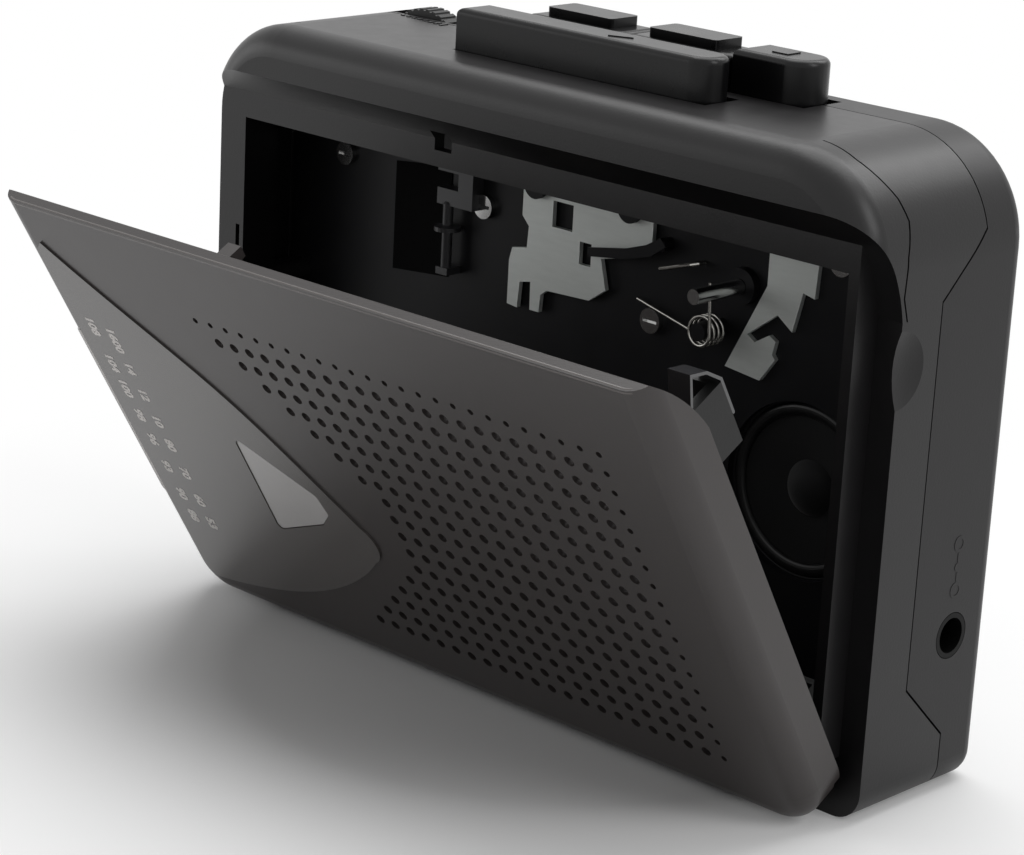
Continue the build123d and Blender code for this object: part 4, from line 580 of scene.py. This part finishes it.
def deck_lever():
    """A flat lever with a bend, on a round post."""
    post = upright_prism(circle(POST_X, POST_Z, POST_R, POST_SIDES), POST_D, DECK_D)
    points, faces = joined([upright_prism(LEVER, *LEVER_D), post])
    piece("deck_lever", points, faces, "case", "black_steel")


# The thin pin: its path of (x, depth, z) and its radius
PIN_PATH = ((15.7, 14.0, 61.6), (17.4, 13.8, 62.1), (19.2, 13.8, 62.7), (20.8, 14.0, 63.2),
            (21.5, 14.7, 63.4), (21.7, 15.9, 63.4))
PIN_R = 0.3
PIN_SIDES = 10


def deck_pin():
    """A bent wire pin whose end meets the deck plate."""
    points, faces = wire(PIN_PATH, PIN_R, PIN_SIDES)
    piece("deck_pin", points, faces, "case", "spring_steel")


# The lid's catch: its outline of (x, z), with a notch in its left side, and its front depth
CATCH = ((-25.6, 62.4), (-18.8, 62.4), (-18.8, 70.2), (-21.6, 70.2), (-21.6, 68.0), (-25.6, 68.0),
         (-25.6, 67.1), (-21.6, 67.1), (-21.6, 64.7), (-25.6, 64.7))
CATCH_D = 13.8


def lid_catch():
    """The deck's catch for the lid: a stepped block with a notch."""
    points, faces = upright_prism(CATCH, CATCH_D, DECK_D)
    piece("lid_catch", points, faces, "case", "inner_plastic", FINISHES["deck_grey"])


# A near-black sheet of painted shade over a recess in the deck, in front of the motor: its outline of (x, z)
# and its front depth
SHEET = ((-36.0, 50.6), (-24.9, 51.6), (-24.9, 67.4), (-36.0, 66.2))
SHEET_D = 15.85


def painted_recess_shade_sheet():
    """A thin near-black sheet on the deck plate in front of the motor: painted shade over a recess there."""
    points, faces = upright_prism(SHEET, SHEET_D, DECK_D)
    piece("painted_recess_shade_sheet", points, faces, "case", "inner_plastic", FINISHES["painted_shade_black"])


# The loudspeaker's roll: its axis, the depth of its foot, its middle radius, half width and height
ROLL_X, ROLL_Z = 39.6, 37.0
ROLL_FOOT_D = 17.35
ROLL_R = 10.6
ROLL_HALF = 0.9
ROLL_HEIGHT = 0.75
ROLL_STEPS = 11
ROLL_SIDES = 96


def speaker_surround():
    """The half-round rubber roll of the loudspeaker: radius = middle + half width cos a, and
    height = roll height sin a, for a from 0 to half a turn."""
    a = np.linspace(0, math.pi, ROLL_STEPS)
    roll = np.column_stack([ROLL_R + ROLL_HALF * np.cos(a), ROLL_HEIGHT * np.sin(a)])
    points, faces = turned(roll, ROLL_SIDES, closed=True)
    places = np.column_stack([points[:, 0] + ROLL_X, ROLL_FOOT_D - points[:, 2], points[:, 1] + ROLL_Z])
    piece("speaker_surround", places, faces, "case", "rubber", FINISHES["gloss_rubber"])


def lamp(name, place, width, height, power):
    """An area lamp at a place in metres, turned to face the lamps' aim."""
    data = bpy.data.lights.new(name, "AREA")
    data.shape = "RECTANGLE"
    data.size = width
    data.size_y = height
    data.energy = power
    obj = bpy.data.objects.new(name, data)
    bpy.context.scene.collection.objects.link(obj)
    back = np.array(place) - np.array(LAMP_AIM)
    back /= np.linalg.norm(back)
    side = np.cross([0.0, 0.0, 1.0], back)
    side /= np.linalg.norm(side)
    m = np.eye(4)
    m[:3, 0], m[:3, 1], m[:3, 2], m[:3, 3] = side, np.cross(back, side), back, place
    obj.matrix_world = Matrix(m.tolist())


def seen_directly(tree):
    """1 for camera, glossy and transmission rays, 0 for the rays that carry light."""
    path = node(tree, "ShaderNodeLightPath")
    some = node(tree, "ShaderNodeMath", [(0, path.outputs["Is Camera Ray"]),
                                         (1, path.outputs["Is Glossy Ray"])], operation="MAXIMUM")
    return node(tree, "ShaderNodeMath", [(0, some.outputs[0]), (1, path.outputs["Is Transmission Ray"])],
                operation="MAXIMUM").outputs[0]


def light_studio():
    """A white tent: a world that looks white and lights dimly and evenly, and large lamps overhead, at
    the front left, on the right and behind."""
    world = bpy.data.worlds.new("studio")
    bpy.context.scene.world = world
    world.use_nodes = True
    tree = world.node_tree
    tree.nodes.clear()
    dim = node(tree, "ShaderNodeBackground", Color=WHITE, Strength=TENT_LIGHT)
    bright = node(tree, "ShaderNodeBackground", Color=WHITE, Strength=TENT_SEEN)
    mixed = node(tree, "ShaderNodeMixShader", [(0, seen_directly(tree)), (1, dim.outputs["Background"]),
                                               (2, bright.outputs["Background"])])
    node(tree, "ShaderNodeOutputWorld", [("Surface", mixed.outputs["Shader"])])
    for name, place, width, height, power in LAMPS:
        lamp(name, place, width, height, power)


def make_floor():
    """A floor of matt white paper on the plane z = 0, which fades to plain white away from the case."""
    corners = [(x, y, 0.0) for x, y in rectangle(-FLOOR_HALF, FLOOR_HALF, -FLOOR_HALF, FLOOR_HALF)]
    mesh = bpy.data.meshes.new("floor")
    mesh.from_pydata(corners, [], [(0, 1, 2, 3)])
    floor = bpy.data.objects.new("floor", mesh)
    bpy.context.scene.collection.objects.link(floor)
    mat = bpy.data.materials.new("white_studio_paper")
    mat.use_nodes = True
    tree = mat.node_tree
    shader = tree.nodes["Principled BSDF"]
    shader.inputs["Base Color"].default_value = linear(PAPER_COLOUR)
    shader.inputs["Roughness"].default_value = PAPER_ROUGH
    white = node(tree, "ShaderNodeEmission", Color=WHITE, Strength=1.0)
    place = node(tree, "ShaderNodeTexCoord")
    away = node(tree, "ShaderNodeVectorMath", [(0, place.outputs["Object"])], operation="LENGTH")
    fade = node(tree, "ShaderNodeMapRange", [("Value", away.outputs["Value"])],
                From_Min=FADE_START, From_Max=FADE_END)
    share = node(tree, "ShaderNodeMath", [(0, seen_directly(tree)), (1, fade.outputs["Result"])],
                 operation="MULTIPLY")
    mixed = node(tree, "ShaderNodeMixShader", [(0, share.outputs[0]), (1, shader.outputs["BSDF"]),
                                               (2, white.outputs["Emission"])])
    tree.links.new(mixed.outputs["Shader"], tree.nodes["Material Output"].inputs["Surface"])
    mesh.materials.append(mat)


dress_nodes()
place_camera()
light_studio()
make_floor()
dial_numbers()
dial_strip()
lid_bead()
key_marks()
volume_marks()
socket_marks()
deck_rod()
deck_lever()
deck_pin()
lid_catch()
painted_recess_shade_sheet()
speaker_surround()

bpy.context.scene.view_settings.view_transform = "Standard"
